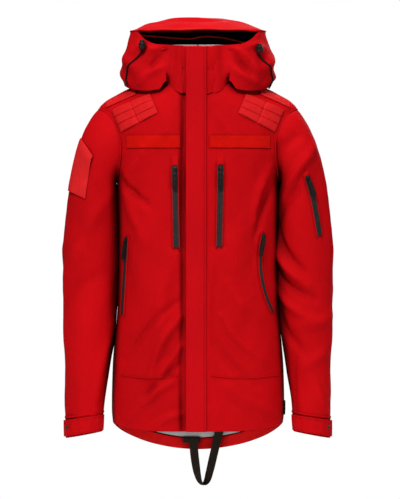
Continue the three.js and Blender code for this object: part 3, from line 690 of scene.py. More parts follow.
def make_world():
    """A white backdrop to the camera that lights the jacket more gently than it looks."""
    world = bpy.data.worlds.new("studio")
    bpy.context.scene.world = world
    world.use_nodes = True
    tree = world.node_tree
    tree.nodes.clear()
    path = tree.nodes.new("ShaderNodeLightPath")
    mix = tree.nodes.new("ShaderNodeMixShader")
    output = tree.nodes.new("ShaderNodeOutputWorld")
    for socket, strength in ((1, WORLD_LIGHT), (2, 1.0)):
        backdrop = tree.nodes.new("ShaderNodeBackground")
        backdrop.inputs["Color"].default_value = (1, 1, 1, 1)
        backdrop.inputs["Strength"].default_value = strength
        tree.links.new(backdrop.outputs[0], mix.inputs[socket])
    tree.links.new(path.outputs["Is Camera Ray"], mix.inputs[0])
    tree.links.new(mix.outputs[0], output.inputs["Surface"])


def make_floor():
    bpy.ops.mesh.primitive_plane_add(size=2.4, location=(0, 0, FLOOR_Z))
    floor = bpy.context.object
    floor.name = "floor"
    material = bpy.data.materials.new("floor")
    material.use_nodes = True
    shader = material.node_tree.nodes["Principled BSDF"]
    shader.inputs["Base Color"].default_value = (0.86, 0.86, 0.85, 1)
    shader.inputs["Roughness"].default_value = 0.8
    floor.data.materials.append(material)


# ---------------------------------------------------------------- materials

class Nodes:
    """A material's node tree with short ways to add the textures that cloth and plastic need."""

    def __init__(self, name, roughness, specular):
        self.material = bpy.data.materials.new(name)
        self.material.use_nodes = True
        self.tree = self.material.node_tree
        self.shader = self.tree.nodes["Principled BSDF"]
        self.shader.inputs["Roughness"].default_value = roughness
        self.shader.inputs["Specular IOR Level"].default_value = specular
        self.place = self.add("ShaderNodeTexCoord").outputs["Object"]
        self.normal = None

    def add(self, kind, sockets=(), **settings):
        node = self.tree.nodes.new(kind)
        for key, value in settings.items():
            setattr(node, key, value)
        for socket, value in dict(sockets).items():
            node.inputs[socket].default_value = value
        return node

    def link(self, source, target):
        self.tree.links.new(source, target)

    def texture(self, kind, turned, sockets, **settings):
        """A texture whose place is turned or scaled first."""
        mapping = self.add("ShaderNodeMapping", turned)
        self.link(self.place, mapping.inputs["Vector"])
        node = self.add(kind, sockets, **settings)
        self.link(mapping.outputs["Vector"], node.inputs["Vector"])
        return node.outputs["Fac"]

    def noise(self, scale, detail=3.0, stretch=(1, 1, 1)):
        return self.texture("ShaderNodeTexNoise", {"Scale": stretch}, {"Scale": scale, "Detail": detail})

    def bands(self, direction, pitch_mm, turn=0.0):
        """Waves with the given distance between them: a wave texture of scale 1 has one each 0.314 m."""
        sockets = {"Scale": TURN / (20 * pitch_mm * MM), "Distortion": 0.6}
        return self.texture("ShaderNodeTexWave", {"Rotation": (0, 0, turn)}, sockets, wave_type="BANDS",
                            bands_direction=direction)

    def math(self, operation, a, b):
        node = self.add("ShaderNodeMath", operation=operation)
        for socket, value in zip(node.inputs, (a, b)):
            if isinstance(value, (int, float)):
                socket.default_value = value
            else:
                self.link(value, socket)
        return node.outputs[0]

    def weighed(self, a, a_share, b, b_share):
        return self.math("ADD", self.math("MULTIPLY", a, a_share), self.math("MULTIPLY", b, b_share))

    def colour(self, factor, dark, light, low=0.35, high=0.65):
        ramp = self.add("ShaderNodeValToRGB")
        for element, position, colour in zip(ramp.color_ramp.elements, (low, high), (dark, light)):
            element.position = position
            element.color = (*colour, 1)
        self.link(factor, ramp.inputs["Fac"])
        self.link(ramp.outputs["Color"], self.shader.inputs["Base Color"])

    def paint_crease_shade(self, reach_mm, strength):
        """Painted shade: ambient occlusion multiplies the base colour down in deep folds, creases and gaps,
        where shade falls.
        """
        crease = self.add("ShaderNodeAmbientOcclusion", {"Distance": reach_mm * MM}, samples=6)
        deep = self.add("ShaderNodeMapRange", {"From Min": 0.25, "From Max": 0.9, "To Min": 1 - strength})
        self.link(crease.outputs["AO"], deep.inputs["Value"])
        mix = self.add("ShaderNodeMix", {"Factor": 1.0}, data_type="RGBA", blend_type="MULTIPLY")
        self.link(self.shader.inputs["Base Color"].links[0].from_socket, mix.inputs[6])
        self.link(deep.outputs["Result"], mix.inputs[7])
        self.link(mix.outputs[2], self.shader.inputs["Base Color"])

    def bump(self, height, depth_mm, strength=1.0):
        node = self.add("ShaderNodeBump", {"Distance": depth_mm * MM, "Strength": strength})
        self.link(height, node.inputs["Height"])
        if self.normal is not None:
            self.link(self.normal, node.inputs["Normal"])
        self.normal = node.outputs["Normal"]
        self.link(self.normal, self.shader.inputs["Normal"])

    def sheen(self, weight, colour, roughness=0.5):
        self.shader.inputs["Sheen Weight"].default_value = weight
        self.shader.inputs["Sheen Tint"].default_value = (*colour, 1)
        self.shader.inputs["Sheen Roughness"].default_value = roughness


def shade(colour, factor):
    return tuple(min(c * factor, 1) for c in colour)


def woven_cloth(name, colour, roughness=0.78, pitch=0.7, weave=0.10, crumple_depth=1.6, variation=0.10,
                sheen=0.03):
    """Plain-woven laminate: fine threads both ways, soft crumple, patchy wear in the dye, and painted shade
    in its creases.
    """
    nodes = Nodes(name, roughness, 0.035)
    patchy = nodes.weighed(nodes.noise(7, 4), 0.75, nodes.noise(420, 2), 0.25)
    nodes.colour(patchy, shade(colour, 1 - variation), shade(colour, 1 + variation), 0.32, 0.68)
    # Painted shade: the base colour darkens in creases and folds, where shade falls.
    nodes.paint_crease_shade(30, 0.85)
    nodes.bump(nodes.noise(38, 5, (1, 1, 0.6)), crumple_depth, 0.55)
    threads = nodes.math("MULTIPLY", nodes.bands("X", pitch, math.pi / 4), nodes.bands("Z", pitch))
    nodes.bump(threads, weave)
    nodes.sheen(sheen, (colour[0], 0.03, 0.03))
    return nodes.material


def pile_cloth(name, colour, depth=0.6, scale=900):
    """Loop pile or fleece: short matt tufts, with painted shade in the gaps between them and tone that
    differs at random.
    """
    nodes = Nodes(name, 0.95, 0.05)
    tufts = nodes.add("ShaderNodeTexVoronoi", {"Scale": scale})
    nodes.link(nodes.place, tufts.inputs["Vector"])
    # Painted shade: the colour darkens away from each tuft's middle, in the gaps between tufts, mixed with
    # tone that differs at random.
    gap_shade_and_mottle = nodes.math("ADD", nodes.math("MULTIPLY", tufts.outputs["Distance"], 0.6), nodes.noise(60, 4))
    nodes.colour(gap_shade_and_mottle, shade(colour, 1.08), shade(colour, 0.9), 0.45, 1.1)
    nodes.bump(nodes.noise(150, 3), depth)
    nodes.bump(tufts.outputs["Distance"], depth * 0.5, 0.8)
    nodes.sheen(0.12, shade(colour, 1.6), 0.6)
    return nodes.material


def ribbed_webbing(name, colour, pitch=1.1):
    """Narrow woven tape: cross ribs with a little fuzz."""
    nodes = Nodes(name, 0.8, 0.1)
    nodes.colour(nodes.noise(90, 4), shade(colour, 0.94), shade(colour, 1.06))
    ribs, warp = nodes.bands("Z", pitch), nodes.bands("X", pitch * 1.6, math.pi / 4)
    nodes.bump(nodes.weighed(ribs, 0.7, warp, 0.3), 0.35)
    nodes.sheen(0.08, shade(colour, 1.6))
    return nodes.material


def moulded_plastic(name, colour, roughness):
    """Moulded or die-cast satin part with a faint grain and scuffs that change its gloss."""
    nodes = Nodes(name, roughness, 0.25)
    nodes.colour(nodes.noise(45, 5), shade(colour, 0.8), shade(colour, 1.35))
    scuffed = nodes.add("ShaderNodeMapRange", {"To Min": roughness - 0.1, "To Max": roughness + 0.14})
    nodes.link(nodes.noise(220, 4), scuffed.inputs["Value"])
    nodes.link(scuffed.outputs["Result"], nodes.shader.inputs["Roughness"])
    nodes.bump(nodes.noise(1400, 2), 0.05)
    return nodes.material


def coated_tape(name, colour):
    """Coated zip tape: smooth film over a faint rib, with a satin shine."""
    nodes = Nodes(name, 0.6, 0.2)
    nodes.colour(nodes.noise(90, 4), shade(colour, 0.8), shade(colour, 1.25))
    nodes.bump(nodes.bands("Z", 1.0), 0.12)
    nodes.bump(nodes.noise(300, 3), 0.08)
    return nodes.material


def braided_cord(name, colour):
    """Round braid: two crossing sets of slanted strands."""
    nodes = Nodes(name, 0.75, 0.15)
    nodes.colour(nodes.noise(260, 3), shade(colour, 0.7), shade(colour, 1.5))
    nodes.bump(nodes.math("MULTIPLY", nodes.bands("DIAGONAL", 1.2), nodes.bands("Z", 1.5)), 0.4)
    nodes.sheen(0.05, shade(colour, 3))
    return nodes.material


shell_cloth = woven_cloth("shell_cloth", (0.500, 0.0020, 0.0046))
flap_cloth = woven_cloth("flap_cloth", (0.51, 0.0024, 0.0060), crumple_depth=0.8)
hood_cloth = woven_cloth("hood_cloth", (0.53, 0.0024, 0.0055))
# Painted light: the hem facing is the shell's red made nearly twice as bright, so the inside of the hem,
# which lies in shade, looks lit.
brightened_facing_cloth = woven_cloth("brightened_facing_cloth", (0.95, 0.010, 0.012), crumple_depth=0.6)
loop_pile = pile_cloth("loop_pile", (0.56, 0.004, 0.002))
patch_pile = pile_cloth("patch_pile", (0.68, 0.016, 0.018))
red_webbing = ribbed_webbing("red_webbing", (0.60, 0.008, 0.010))
red_thread = woven_cloth("red_thread", (0.40, 0.004, 0.006), crumple_depth=0.1, variation=0.2)
piping_cloth = woven_cloth("piping_cloth", (0.90, 0.030, 0.030), crumple_depth=0.3)
OPEN_MESH = dict(roughness=0.9, pitch=1.6, weave=0.5, sheen=0.05)
lining_mesh = woven_cloth("lining_mesh", (0.62, 0.61, 0.60), **OPEN_MESH)
collar_mesh = woven_cloth("collar_mesh", (0.42, 0.40, 0.40), **OPEN_MESH)
black_fleece = pile_cloth("black_fleece", (0.0030, 0.0028, 0.0028), depth=1.2, scale=500)
zip_tape_film = coated_tape("zip_tape_film", (0.017, 0.014, 0.014))
zip_coil = moulded_plastic("zip_coil", (0.012, 0.010, 0.010), 0.38)
slider_metal = moulded_plastic("slider_metal", (0.006, 0.004, 0.003), 0.4)
pull_rubber = moulded_plastic("pull_rubber", (0.0045, 0.0025, 0.002), 0.6)
lock_plastic = moulded_plastic("lock_plastic", (0.003, 0.003, 0.003), 0.45)
cord_braid = braided_cord("cord_braid", (0.006, 0.005, 0.005))
strap_webbing = ribbed_webbing("strap_webbing", (0.027, 0.020, 0.015), pitch=1.4)
label_satin = woven_cloth("label_satin", (0.012, 0.011, 0.012), roughness=0.5, crumple_depth=0.3)
stud_metal = moulded_plastic("stud_metal", (0.020, 0.016, 0.015), 0.3)


# ---------------------------------------------------------------- torso

TOP_NOMINAL_Z, SKIRT_TOP_Z = -2, -600


def row_z(nominal, angle):
    """Rows are level above the skirt and fan out below it to meet the curved hem."""
    down = np.clip((SKIRT_TOP_Z - nominal) / (SKIRT_TOP_Z - FRONT_HEM_Z), 0, 1)
    return np.where(nominal < SKIRT_TOP_Z, lerp(SKIRT_TOP_Z, hem_z(angle), down), nominal)


def mirrored(u, side):
    """The share from the middle of the jacket outwards, on a grid that runs towards +X on both sides."""
    return u if side > 0 else 1 - u


def make_front(side_name, side):
    def surface(u, v):
        nominal = lerp(FRONT_HEM_Z, TOP_NOMINAL_Z, v)
        angle = side * lerp(front_start_angle(nominal), side_angle(nominal, True), mirrored(u, side))
        return torso_point(angle, row_z(nominal, angle))
    grid = grid_of(250, 92, surface)
    relief = front_relief(grid[..., 0], grid[..., 2])
    cloth_piece(f"front_shell_{side_name}", raised(grid, relief), shell_cloth, f"front_panel_{side_name}")


def make_back():
    def surface(u, v):
        nominal = lerp(FRONT_HEM_Z, TOP_NOMINAL_Z, v)
        start = side_angle(nominal, False)
        angle = lerp(start, TURN - start, u)
        return torso_point(angle, row_z(nominal, angle))
    grid = grid_of(250, 180, surface)
    relief = back_relief(grid[..., 0], grid[..., 2])
    cloth_piece("back_shell", raised(grid, relief), shell_cloth, "back_panel")


def make_body_lining():
    def surface(u, v):
        angle = lerp(0.17, TURN - 0.17, u)
        return torso_point(angle, lerp(hem_z(angle) + 26, -226, v), 8)
    grid = grid_of(90, 200, surface)
    x, y, z = np.moveaxis(grid, -1, 0)
    behind = np.where(y < RIDGE_Y, front_relief(x, z), back_relief(x, z))
    waves = 0.3 * crumple(x * 1.5 + y, z, 2.2)
    cloth_piece("mesh_lining", raised(grid, behind + waves - 1.5), lining_mesh, "body_lining", "lining",
                thickness=0.8)


def make_hem_facing():
    def surface(u, v):
        angle = lerp(1.75, TURN - 1.75, u)
        return torso_point(angle, hem_z(angle) + lerp(0.8, 24, v), 4)
    grid = grid_of(16, 170, surface)
    waves = 0.35 * crumple(grid[..., 0] * 2, grid[..., 2] * 2, 0.4)
    cloth_piece("hem_facing_cloth", raised(grid, waves), brightened_facing_cloth, "hem_facing", thickness=0.9, hem=0.5)


def make_collar_lining():
    def surface(u, v):
        angle = lerp(0.02, TURN - 0.02, u)
        behind_zip = 7.5 * (1 - smooth(np.minimum(angle, TURN - angle), 0.2, 0.55))
        return collar_point(angle, 0.1 + 0.93 * v, 4 + behind_zip[..., None])
    cloth_piece("collar_mesh_lining", grid_of(24, 150, surface), collar_mesh, "collar_lining", "lining",
                thickness=0.9, hem=0.5)


def make_collar(side_name, side):
    rows, columns = 44, 130

    def surface(u, v):
        return collar_point(side * lerp(0.2, math.pi - 0.012, mirrored(u, side)), 0.015 + 0.985 * v)
    grid = grid_of(rows, columns, surface)
    angle = np.arctan2(grid[..., 0], -(grid[..., 1] - COLLAR_Y))
    grid = raised(grid, collar_bulge(angle, shares(rows, columns)[1]))
    cloth_piece(f"collar_shell_{side_name}", grid, shell_cloth, f"collar_{side_name}", thickness=1.6,
                hem=0.15)


# ---------------------------------------------------------------- sleeves


def blend_between(piece, side):
    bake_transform(piece)


def make_sleeve(side_name, side):
    rows = 230
    u, v = (share[:, :-1] for share in shares(rows, 108))
    station, turned = CUFF_STATION * v, TURN * u
    grid = sleeve_point(side, station, side * turned)
    grid = raised(grid, sleeve_relief(side, station, turned), wrap=True)
    split = round(rows * ELBOW_STATION / CUFF_STATION)
    tucked = grid[split - 2:]
    tuck = -0.3 * bell(np.arange(len(tucked)), 2.0)[:, None] * np.ones(len(grid[0]))
    upper, fore = (f"{part}_{side_name}" for part in ("upper_sleeve", "forearm"))
    cloth = dict(body=None, wrap=True, hem=0, ends=False)
    above, below = grid[:split + 1], raised(tucked, tuck, wrap=True)
    upper_cloth = cloth_piece(f"upper_sleeve_cloth_{side_name}", above, shell_cloth, upper, **cloth)
    fore_cloth = cloth_piece(f"forearm_cloth_{side_name}", below, shell_cloth, fore, **cloth)
    blend_between(upper_cloth, side)
    blend_between(fore_cloth, side)


def make_armhole_seam(side_name, side):
    """The rolled seam that joins the sleeve to the body."""
    angle = np.linspace(0, TURN, 150)
    z = ARMHOLE_Z + ARMHOLE_HEIGHT * np.cos(angle)
    y = RIDGE_Y - ARMHOLE_DEPTH * np.sin(angle)
    tube(f"armhole_seam_{side_name}", points(side * (torso_side_x(y, z) + 0.2), y, z), 2.0, shell_cloth)


# ---------------------------------------------------------------- hood

def hood_strip(name, start, end, rows, columns, material, node, slot="shell", body="hood", inset=0.0,
               thickness=CLOTH):
    """The hood between two angles; in front, its cheeks come down on to the collar."""
    u, v = shares(rows, columns)
    degrees = lerp(start, end, u)
    folded = np.abs(np.where(degrees > 180, 360 - degrees, degrees))
    z = lerp(hood_rim(folded) + inset, hood_lip(folded) - inset / 4, v)
    grid = hood_point(degrees, z, inset)
    across = np.minimum(np.abs(grid[..., 0]) / NECK_HALF_WIDTH, 1)
    ahead = 1 - across**2
    seam_z = NECK_FRONT_Z * ahead
    share = np.clip((z - seam_z) / (66 - 3 * np.sqrt(ahead) - seam_z), 0, 1)
    on_collar = collar_point(np.arcsin(across), share)[..., 1] - 0.5 - 1.9 * smooth(folded, 12, 16)
    proud = smooth(folded, 13, 24) * np.maximum(smooth(z, -16, 12), smooth(folded, 23, 25))
    near_collar = lerp(np.minimum(on_collar, grid[..., 1] + 30), grid[..., 1], proud)
    grid[..., 1] = np.where(folded < 25, near_collar, grid[..., 1])
    relief = hood_height(degrees, folded, z)
    if inset > 0:
        relief = relief + 0.5 * crumple(degrees * 2, z * 2, 5.0) - 1.5
    return cloth_piece(name, raised(grid, relief), material, node, slot, body, thickness=thickness, hem=0.15)


def make_hood():
    for side_name, side in SIDES:
        cheek = hood_strip(f"hood_cheek_{side_name}", *sorted((side * 12, side * 125)), 80, 190, hood_cloth,
                           f"hood_side_{side_name}", body=None)
        blend_between(cheek, side)
    hood_strip("hood_nape", 125.4, 234.6, 66, 110, hood_cloth, "hood_back")
    hood_strip("hood_fleece", 68, 292, 30, 150, black_fleece, "hood_lining", "hoodLining", inset=6,
               thickness=1.0)
    seam = hood_point(np.linspace(60, 300, 260), CROWN_RING_Z)
    seam[..., 2] += 1.2
    tube("hood_crown_seam", seam, 1.5, hood_cloth, body="hood")
    grid = grid_of(110, 110, crown_point)
    relief = crown_relief(grid[..., 0], grid[..., 1], disc_shares(*shares(110, 110))[2])
    cloth_piece("hood_top", raised(grid, relief), hood_cloth, "hood_crown", body="hood", hem=0.6)
    make_peak()


def make_peak():
    def surface(u, v):
        degrees = lerp(-60, 60, u)
        point, outward = hood_outward(degrees, CROWN_RING_Z)
        reach = -2 + v * 14 * np.cos(np.radians(degrees * 1.4))
        point = point + outward * reach[..., None]
        ripple = 1.3 * np.sin(degrees / 7.5 + 0.6) * np.cos(degrees / 19) * v
        point[..., 2] = CROWN_RING_Z + 2 - 3 * v + ripple
        return point
    cloth_piece("hood_peak", grid_of(14, 130, surface), hood_cloth, "hood_brim", body="hood", thickness=2.2,
                hem=0.4)


FLEECE_HALF_WIDTH, FLEECE_LOW, FLEECE_HIGH = 131, 58, 96
PIPING = profile([(-124, 90), (-70, 86), (-20, 83), (15, 88), (47, 86), (85, 78), (126, 69)])


def make_piping():
    """The fleece behind the hood's opening, and the red piping across it."""
    def fleece_y(x, share):
        return 20 * (1 - (x / FLEECE_HALF_WIDTH) ** 2) - 10 * share

    def surface(u, v):
        x = lerp(-FLEECE_HALF_WIDTH, FLEECE_HALF_WIDTH, u)
        return points(x, fleece_y(x, v) - 52, lerp(FLEECE_LOW, FLEECE_HIGH, v) + 1.5 * np.sin(x / 40))
    cloth_piece("inner_fleece", grid_of(24, 120, surface), black_fleece, slot="hoodLining", body="hood",
                thickness=1.0)
    x = np.linspace(-124, 126, 160)
    z = PIPING(x)
    y = fleece_y(x, (z - FLEECE_LOW) / (FLEECE_HIGH - FLEECE_LOW)) - 56.5
    tube("hood_piping", points(x, y, z), 1.6, piping_cloth, body="hood")


# ---------------------------------------------------------------- hood trim

# Angle and height of the cord lock on each side of the hood
LOCKS = {-1: (-46, 58), 1: (52, 51)}
LOCK_RADIUS, LOCK_BORE, LOCK_HEIGHT, LOCK_FLOOR = 7.5, 5.4, 13, 3
BUTTON_RADIUS, BUTTON_SHOWN, BUTTON_TRAVEL = 4.9, 6, 4
CORD_RADIUS = 1.5
AXES = tuple(np.eye(3))


def make_cord_lock(side_name, side):
    base, outward = hood_outward(*np.array(LOCKS[side], float))
    place = (base + outward * (LOCK_RADIUS + 1.2), *AXES)
    rim, foot, bore = LOCK_RADIUS, LOCK_HEIGHT, LOCK_BORE
    barrel = [(2.0, 0, 0), (rim - 1.6, 0, 0), (rim - 0.4, 0.7, 0), (rim, 2, 0), (rim, 3, 0.3), (rim, 4, 1),
              (rim, 9.5, 1), (rim, 10.5, 0.3), (rim, 11.6, 0), (rim - 0.4, 12.6, 0), (rim - 1.1, foot, 0),
              (bore + 0.4, foot, 0), (bore, foot - 0.5, 0), (bore, LOCK_FLOOR, 0), (0.4, LOCK_FLOOR, 0)]
    lathe(f"cord_lock_barrel_{side_name}", barrel, place, lock_plastic, "hood", f"cord_lock_{side_name}",
          flutes=10, depth=0.9)
    low, top, wall = LOCK_FLOOR + BUTTON_TRAVEL + 0.4, LOCK_HEIGHT + BUTTON_SHOWN, BUTTON_RADIUS
    button = [(0.4, low, 0), (wall, low, 0), (wall, 13.4, 0), (wall - 0.5, 14.0, 0),
              (wall - 0.5, 14.8, 0), (wall, 15.4, 0.5), (wall, top - 1.8, 0.5), (wall - 0.5, top - 0.8, 0),
              (wall - 1.6, top - 0.1, 0), (0.6, top, 0)]
    lathe(f"cord_lock_plunger_{side_name}", button, place, lock_plastic, f"cord_button_{side_name}",
          f"cord_lock_button_{side_name}", flutes=14, depth=0.5)


def cord_path(side):
    """The cord runs from its lock down the cheek: degrees back and millimetres down from the lock."""
    degrees, z = LOCKS[side]
    t = np.linspace(0, 1, 70)
    turn = side * evenly((0, 6, 15, 22, 25, 24))(t)
    drop = evenly((-3, -16, -32, -48, -62, -74))(t)
    base, outward = hood_outward(degrees + turn, z + drop)
    gap = CORD_RADIUS + 0.6 + 3.2 * smooth(drop, -22, -4)
    relief = hood_height(degrees + turn, np.abs(degrees + turn), z + drop)
    return base + outward * (gap + relief)[:, None]


def make_drawcord(side_name, side):
    path = cord_path(side)
    cord = tube(f"drawcord_braid_{side_name}", path, CORD_RADIUS, cord_braid, f"drawcord_{side_name}",
                "hood", 12)


def make_casing(side_name, side):
    """The stitched channel round the face opening and the seam down each cheek that the cord follows."""
    degrees = np.linspace(24, 66, 110) * side
    base, outward = hood_outward(degrees, hood_lip(np.abs(degrees)) - 9)
    stitch_row(f"casing_stitches_{side_name}", base + outward * 0.6, outward, "hood")
    drop = lerp(58, -8, np.linspace(0, 1, 120) ** 1.5)
    base, outward = hood_outward(np.linspace(26, 78, 120) * side, drop)
    ribbon(f"cheek_seam_{side_name}", base, outward, 3.4, 1.5, hood_cloth, "hood")


# ---------------------------------------------------------------- trim on the front

CLOSURE_DOWN = unit(np.array([0.0, FRONT_BOTTOM_Y - FRONT_TOP_Y, FRONT_BOTTOM_Z - FRONT_TOP_Z]))
CLOSURE_OUT = np.cross(CLOSURE_DOWN, [1.0, 0, 0])


def closure_point(x, out, z):
    return points(x, front_line_y(z), z) + np.asarray(out, float)[..., None] * CLOSURE_OUT


def front_patch(name, place, lift, material, node, slot, rows, columns, relief=None, thickness=1.4, hem=0.2):
    """A patch on the front panel that follows its folds, given by a function from (u, v) to x and z."""
    u, v = shares(rows, columns)
    x, z = place(u, v)
    extra = relief(u, v) if relief else 0
    grid = raised(torso_across(x, z, True), front_relief(x, z) + lift + extra)
    return cloth_piece(name, grid, material, node, slot, thickness=thickness, hem=hem)


def front_line(xs, zs, lift):
    """Points and normals on the front panel along a smooth line through the given places."""
    t = np.linspace(0, 1, 160)
    x, z = evenly(xs)(t), evenly(zs)(t)
    step = 0.5
    across = torso_across(x + step, z, True) - torso_across(x - step, z, True)
    normal = unit(np.cross(across, torso_across(x, z + step, True) - torso_across(x, z - step, True)))
    return torso_across(x, z, True) + normal * (front_relief(x, z) + lift)[:, None], normal


WAIST_SEAM_X = {-1: (-160, -101, -42), 1: (26, 97, 168)}
WAIST_SEAM_Z = np.array([-622, -627, -622])


def make_waist_seam(side_name, side):
    """The seam above the skirt, with a row of stitches under it."""
    name = f"waist_seam_{side_name}"
    ribbon(name, *front_line(WAIST_SEAM_X[side], WAIST_SEAM_Z, 0.0), 3.0, 0.9, shell_cloth)
    stitch_row(f"{name}_stitches_0", *front_line(WAIST_SEAM_X[side], WAIST_SEAM_Z - 3.2, 0.2))


FLAP_LEFT, FLAP_RIGHT, FLAP_BOTTOM_Z, FLAP_TOP_Z = -25, 18, -738.6, 62.6
FLAP_STITCHES = (14.5, -21.5)


def make_flap():
    columns = 46

    def surface(u, v):
        x = lerp(FLAP_LEFT, FLAP_RIGHT, u)
        z = lerp(FLAP_BOTTOM_Z, FLAP_TOP_Z, v)
        free = 1 - smooth(u, 0, 0.35)
        wave = free * (1.0 + 1.0 * np.sin(z / 61) + 0.6 * np.sin(z / 23 + 1.1))
        rounded = 3.4 * np.sin(math.pi * np.clip(u, 0, 1)) ** 0.5
        grooves = 0.8 * bell(x - FLAP_STITCHES[0], 0.9) + 0.5 * bell(x - FLAP_STITCHES[1], 0.8)
        sewn_down = 2.6 * smooth(u, 0.75, 1)
        out = 3.4 + rounded + wave + 0.2 * crumple(x * 1.5, z, 7.0) - grooves - sewn_down
        return closure_point(x, out, z)
    grid = grid_of(380, columns, surface)
    cloth_piece("flap_cloth", grid, flap_cloth, "storm_flap", body="storm_flap", thickness=2.2, hem=0.9)
    for index, x in enumerate(FLAP_STITCHES):
        path = grid[::-1][:, round((x - FLAP_LEFT) / (FLAP_RIGHT - FLAP_LEFT) * columns)]
        stitch_row(f"flap_stitches_{index}", path, np.broadcast_to(CLOSURE_OUT, path.shape), "storm_flap")


PLACKET_HALF_WIDTH, PLACKET_OUT, PLACKET_BOTTOM_Z, PLACKET_TOP_Z = 22, -7.6, -728, 55
MAIN_TAPE_INNER, MAIN_TAPE_OUTER, MAIN_TAPE_BOTTOM_Z, MAIN_TAPE_TOP_Z = 2.6, 13.5, -733, 60
MAIN_ZIP_OUT = -3.9


def make_placket():
    """The inner placket and the main zip's tapes and coil."""
    def placket(u, v):
        x = lerp(-PLACKET_HALF_WIDTH, PLACKET_HALF_WIDTH, u)
        return closure_point(x, np.full(u.shape, PLACKET_OUT), lerp(PLACKET_BOTTOM_Z, PLACKET_TOP_Z, v))
    grid = grid_of(200, 14, placket)
    cloth_piece("placket_cloth", grid, shell_cloth, "inner_placket", hem=0.2)
    for side_name, side in SIDES:
        def tape(u, v, side=side):
            x = side * lerp(MAIN_TAPE_INNER, MAIN_TAPE_OUTER, mirrored(u, side))
            ribbed = MAIN_ZIP_OUT + 0.25 * np.cos(x * 2.2)
            return closure_point(x, ribbed, lerp(MAIN_TAPE_BOTTOM_Z, MAIN_TAPE_TOP_Z, v))
        cloth_piece(f"main_zip_tape_cloth_{side_name}", grid_of(200, 12, tape), zip_tape_film,
                    f"main_zip_tape_{side_name}", "tape", thickness=0.9, hem=0)
        make_coil(f"main_zip_coil_{side_name}", side)


COIL_LENGTH, COIL_TOP_Z, COIL_X = 790, 57, 1.55
TOOTH_PITCH, TOOTH_SIDES, TOOTH_OUT, TOOTH_DOWN = 2.6, 8, 1.35, 0.95
# How far across each ring of a tooth lies and how large it is
TOOTH_RINGS = ((-1.1, 0.45), (-0.6, 1.0), (0.6, 1.0), (1.1, 0.45))


def make_coil(name, side):
    """One side of the coil zip: a row of rounded teeth along the closure."""
    vertices, faces = [], []
    for k in range(int(COIL_LENGTH / TOOTH_PITCH)):
        z = COIL_TOP_Z - k * TOOTH_PITCH - (0.5 * TOOTH_PITCH if side > 0 else 0)
        centre = closure_point(side * COIL_X, MAIN_ZIP_OUT, z)
        faces += stack_faces(len(TOOTH_RINGS), TOOTH_SIDES, len(vertices))
        for reach, size in TOOTH_RINGS:
            for corner in range(TOOTH_SIDES):
                turn = (corner + 0.5) * TURN / TOOTH_SIDES
                offset = CLOSURE_OUT * TOOTH_OUT * math.sin(turn) + CLOSURE_DOWN * TOOTH_DOWN * math.cos(turn)
                vertices.append(centre + np.array([reach, 0, 0]) + offset * size)
    new_piece(name, vertices, faces, zip_coil)


# The loop panels' x from the middle outwards on each side, and their z
LOOP_PANEL_X, LOOP_PANEL_Z = {-1: (37, 148), 1: (24, 150)}, (-148.5, -122.5)


def make_loop_panel(side_name, side):
    inner, outer = LOOP_PANEL_X[side]
    low, high = LOOP_PANEL_Z

    def place(u, v):
        return side * lerp(inner, outer, mirrored(u, side)), lerp(low, high, v)
    front_patch(f"chest_loop_pile_{side_name}", place, 2.0, loop_pile, f"chest_loop_panel_{side_name}",
                "loop", 40, 150, lambda u, v: stitched_edge(u, v, outer - inner, high - low, 2.2))


# Inner low, outer low, inner high and outer high corner of the webbing on each shoulder
WEBBING_CORNERS = np.array([(83, -76), (160, -116), (100, -36), (180, -68)], float)
WEBBING_LENGTH = 90


def make_webbing(side_name, side):
    """Three rows of webbing, sewn down in the middle and at both ends."""
    inner_low, outer_low, inner_high, outer_high = WEBBING_CORNERS
    middle = 0.5 + 0.02 * side

    def place(u, v):
        s = mirrored(u, side)[..., None]
        spot = lerp(lerp(inner_low, outer_low, s), lerp(inner_high, outer_high, s), v[..., None])
        return side * spot[..., 0], spot[..., 1]

    def ladder(u, v):
        gap = 2.5 * smooth(np.abs((v * 3) % 1 - 0.5) * 2, 0.88, 0.97)
        sewn = 1.7 * bell((u - middle) * WEBBING_LENGTH, 1.5)
        ends = bell(np.minimum(u, 1 - u) * WEBBING_LENGTH, 2.2)
        slack = 1.3 * np.abs(np.sin(math.pi * (u - middle) * 2.1)) ** 0.7
        return slack - gap - sewn - ends
    front_patch(f"shoulder_webbing_rows_{side_name}", place, 2.6, red_webbing,
                f"shoulder_webbing_{side_name}", "webbing", 90, 110, ladder)


# The shoulder tab's x and the height of the shoulder above it at both ends, its distance below and its height
OVERLAY_X, OVERLAY_RIDGE_Z, OVERLAY_GAP, OVERLAY_HEIGHT = (130, 192), (-20.3, -47.5), 3, 13


def make_overlay(side_name, side):
    def place(u, v):
        s = mirrored(u, side)
        return side * lerp(*OVERLAY_X, s), lerp(*OVERLAY_RIDGE_Z, s) - OVERLAY_GAP - OVERLAY_HEIGHT * (1 - v)
    front_patch(f"shoulder_tab_{side_name}", place, 2.0, red_webbing, f"shoulder_overlay_{side_name}",
                "shell", 24, 60, thickness=1.3, hem=0.4)


POCKET_BAG_X, POCKET_BAG_Z = (62, 150), (-540, -360)


def make_pocket_bag(side_name, side):
    def surface(u, v):
        x = side * lerp(*POCKET_BAG_X, mirrored(u, side))
        return torso_across(x, lerp(*POCKET_BAG_Z, v), True, 3.0)
    grid = grid_of(60, 40, surface)
    x, z = grid[..., 0], grid[..., 2]
    height = front_relief(x, z) + 0.3 * crumple(x * 1.4, z, 4.0) - 1.2
    cloth_piece(f"pocket_bag_mesh_{side_name}", raised(grid, height), lining_mesh,
                f"hand_pocket_bag_{side_name}", "lining", thickness=0.8, hem=0.3)


# ---------------------------------------------------------------- pocket zips

ZIP_START = 0.05


def zip_body(name):
    return "upper_sleeve_left" if name == "sleeve_zip" else "jacket_body"


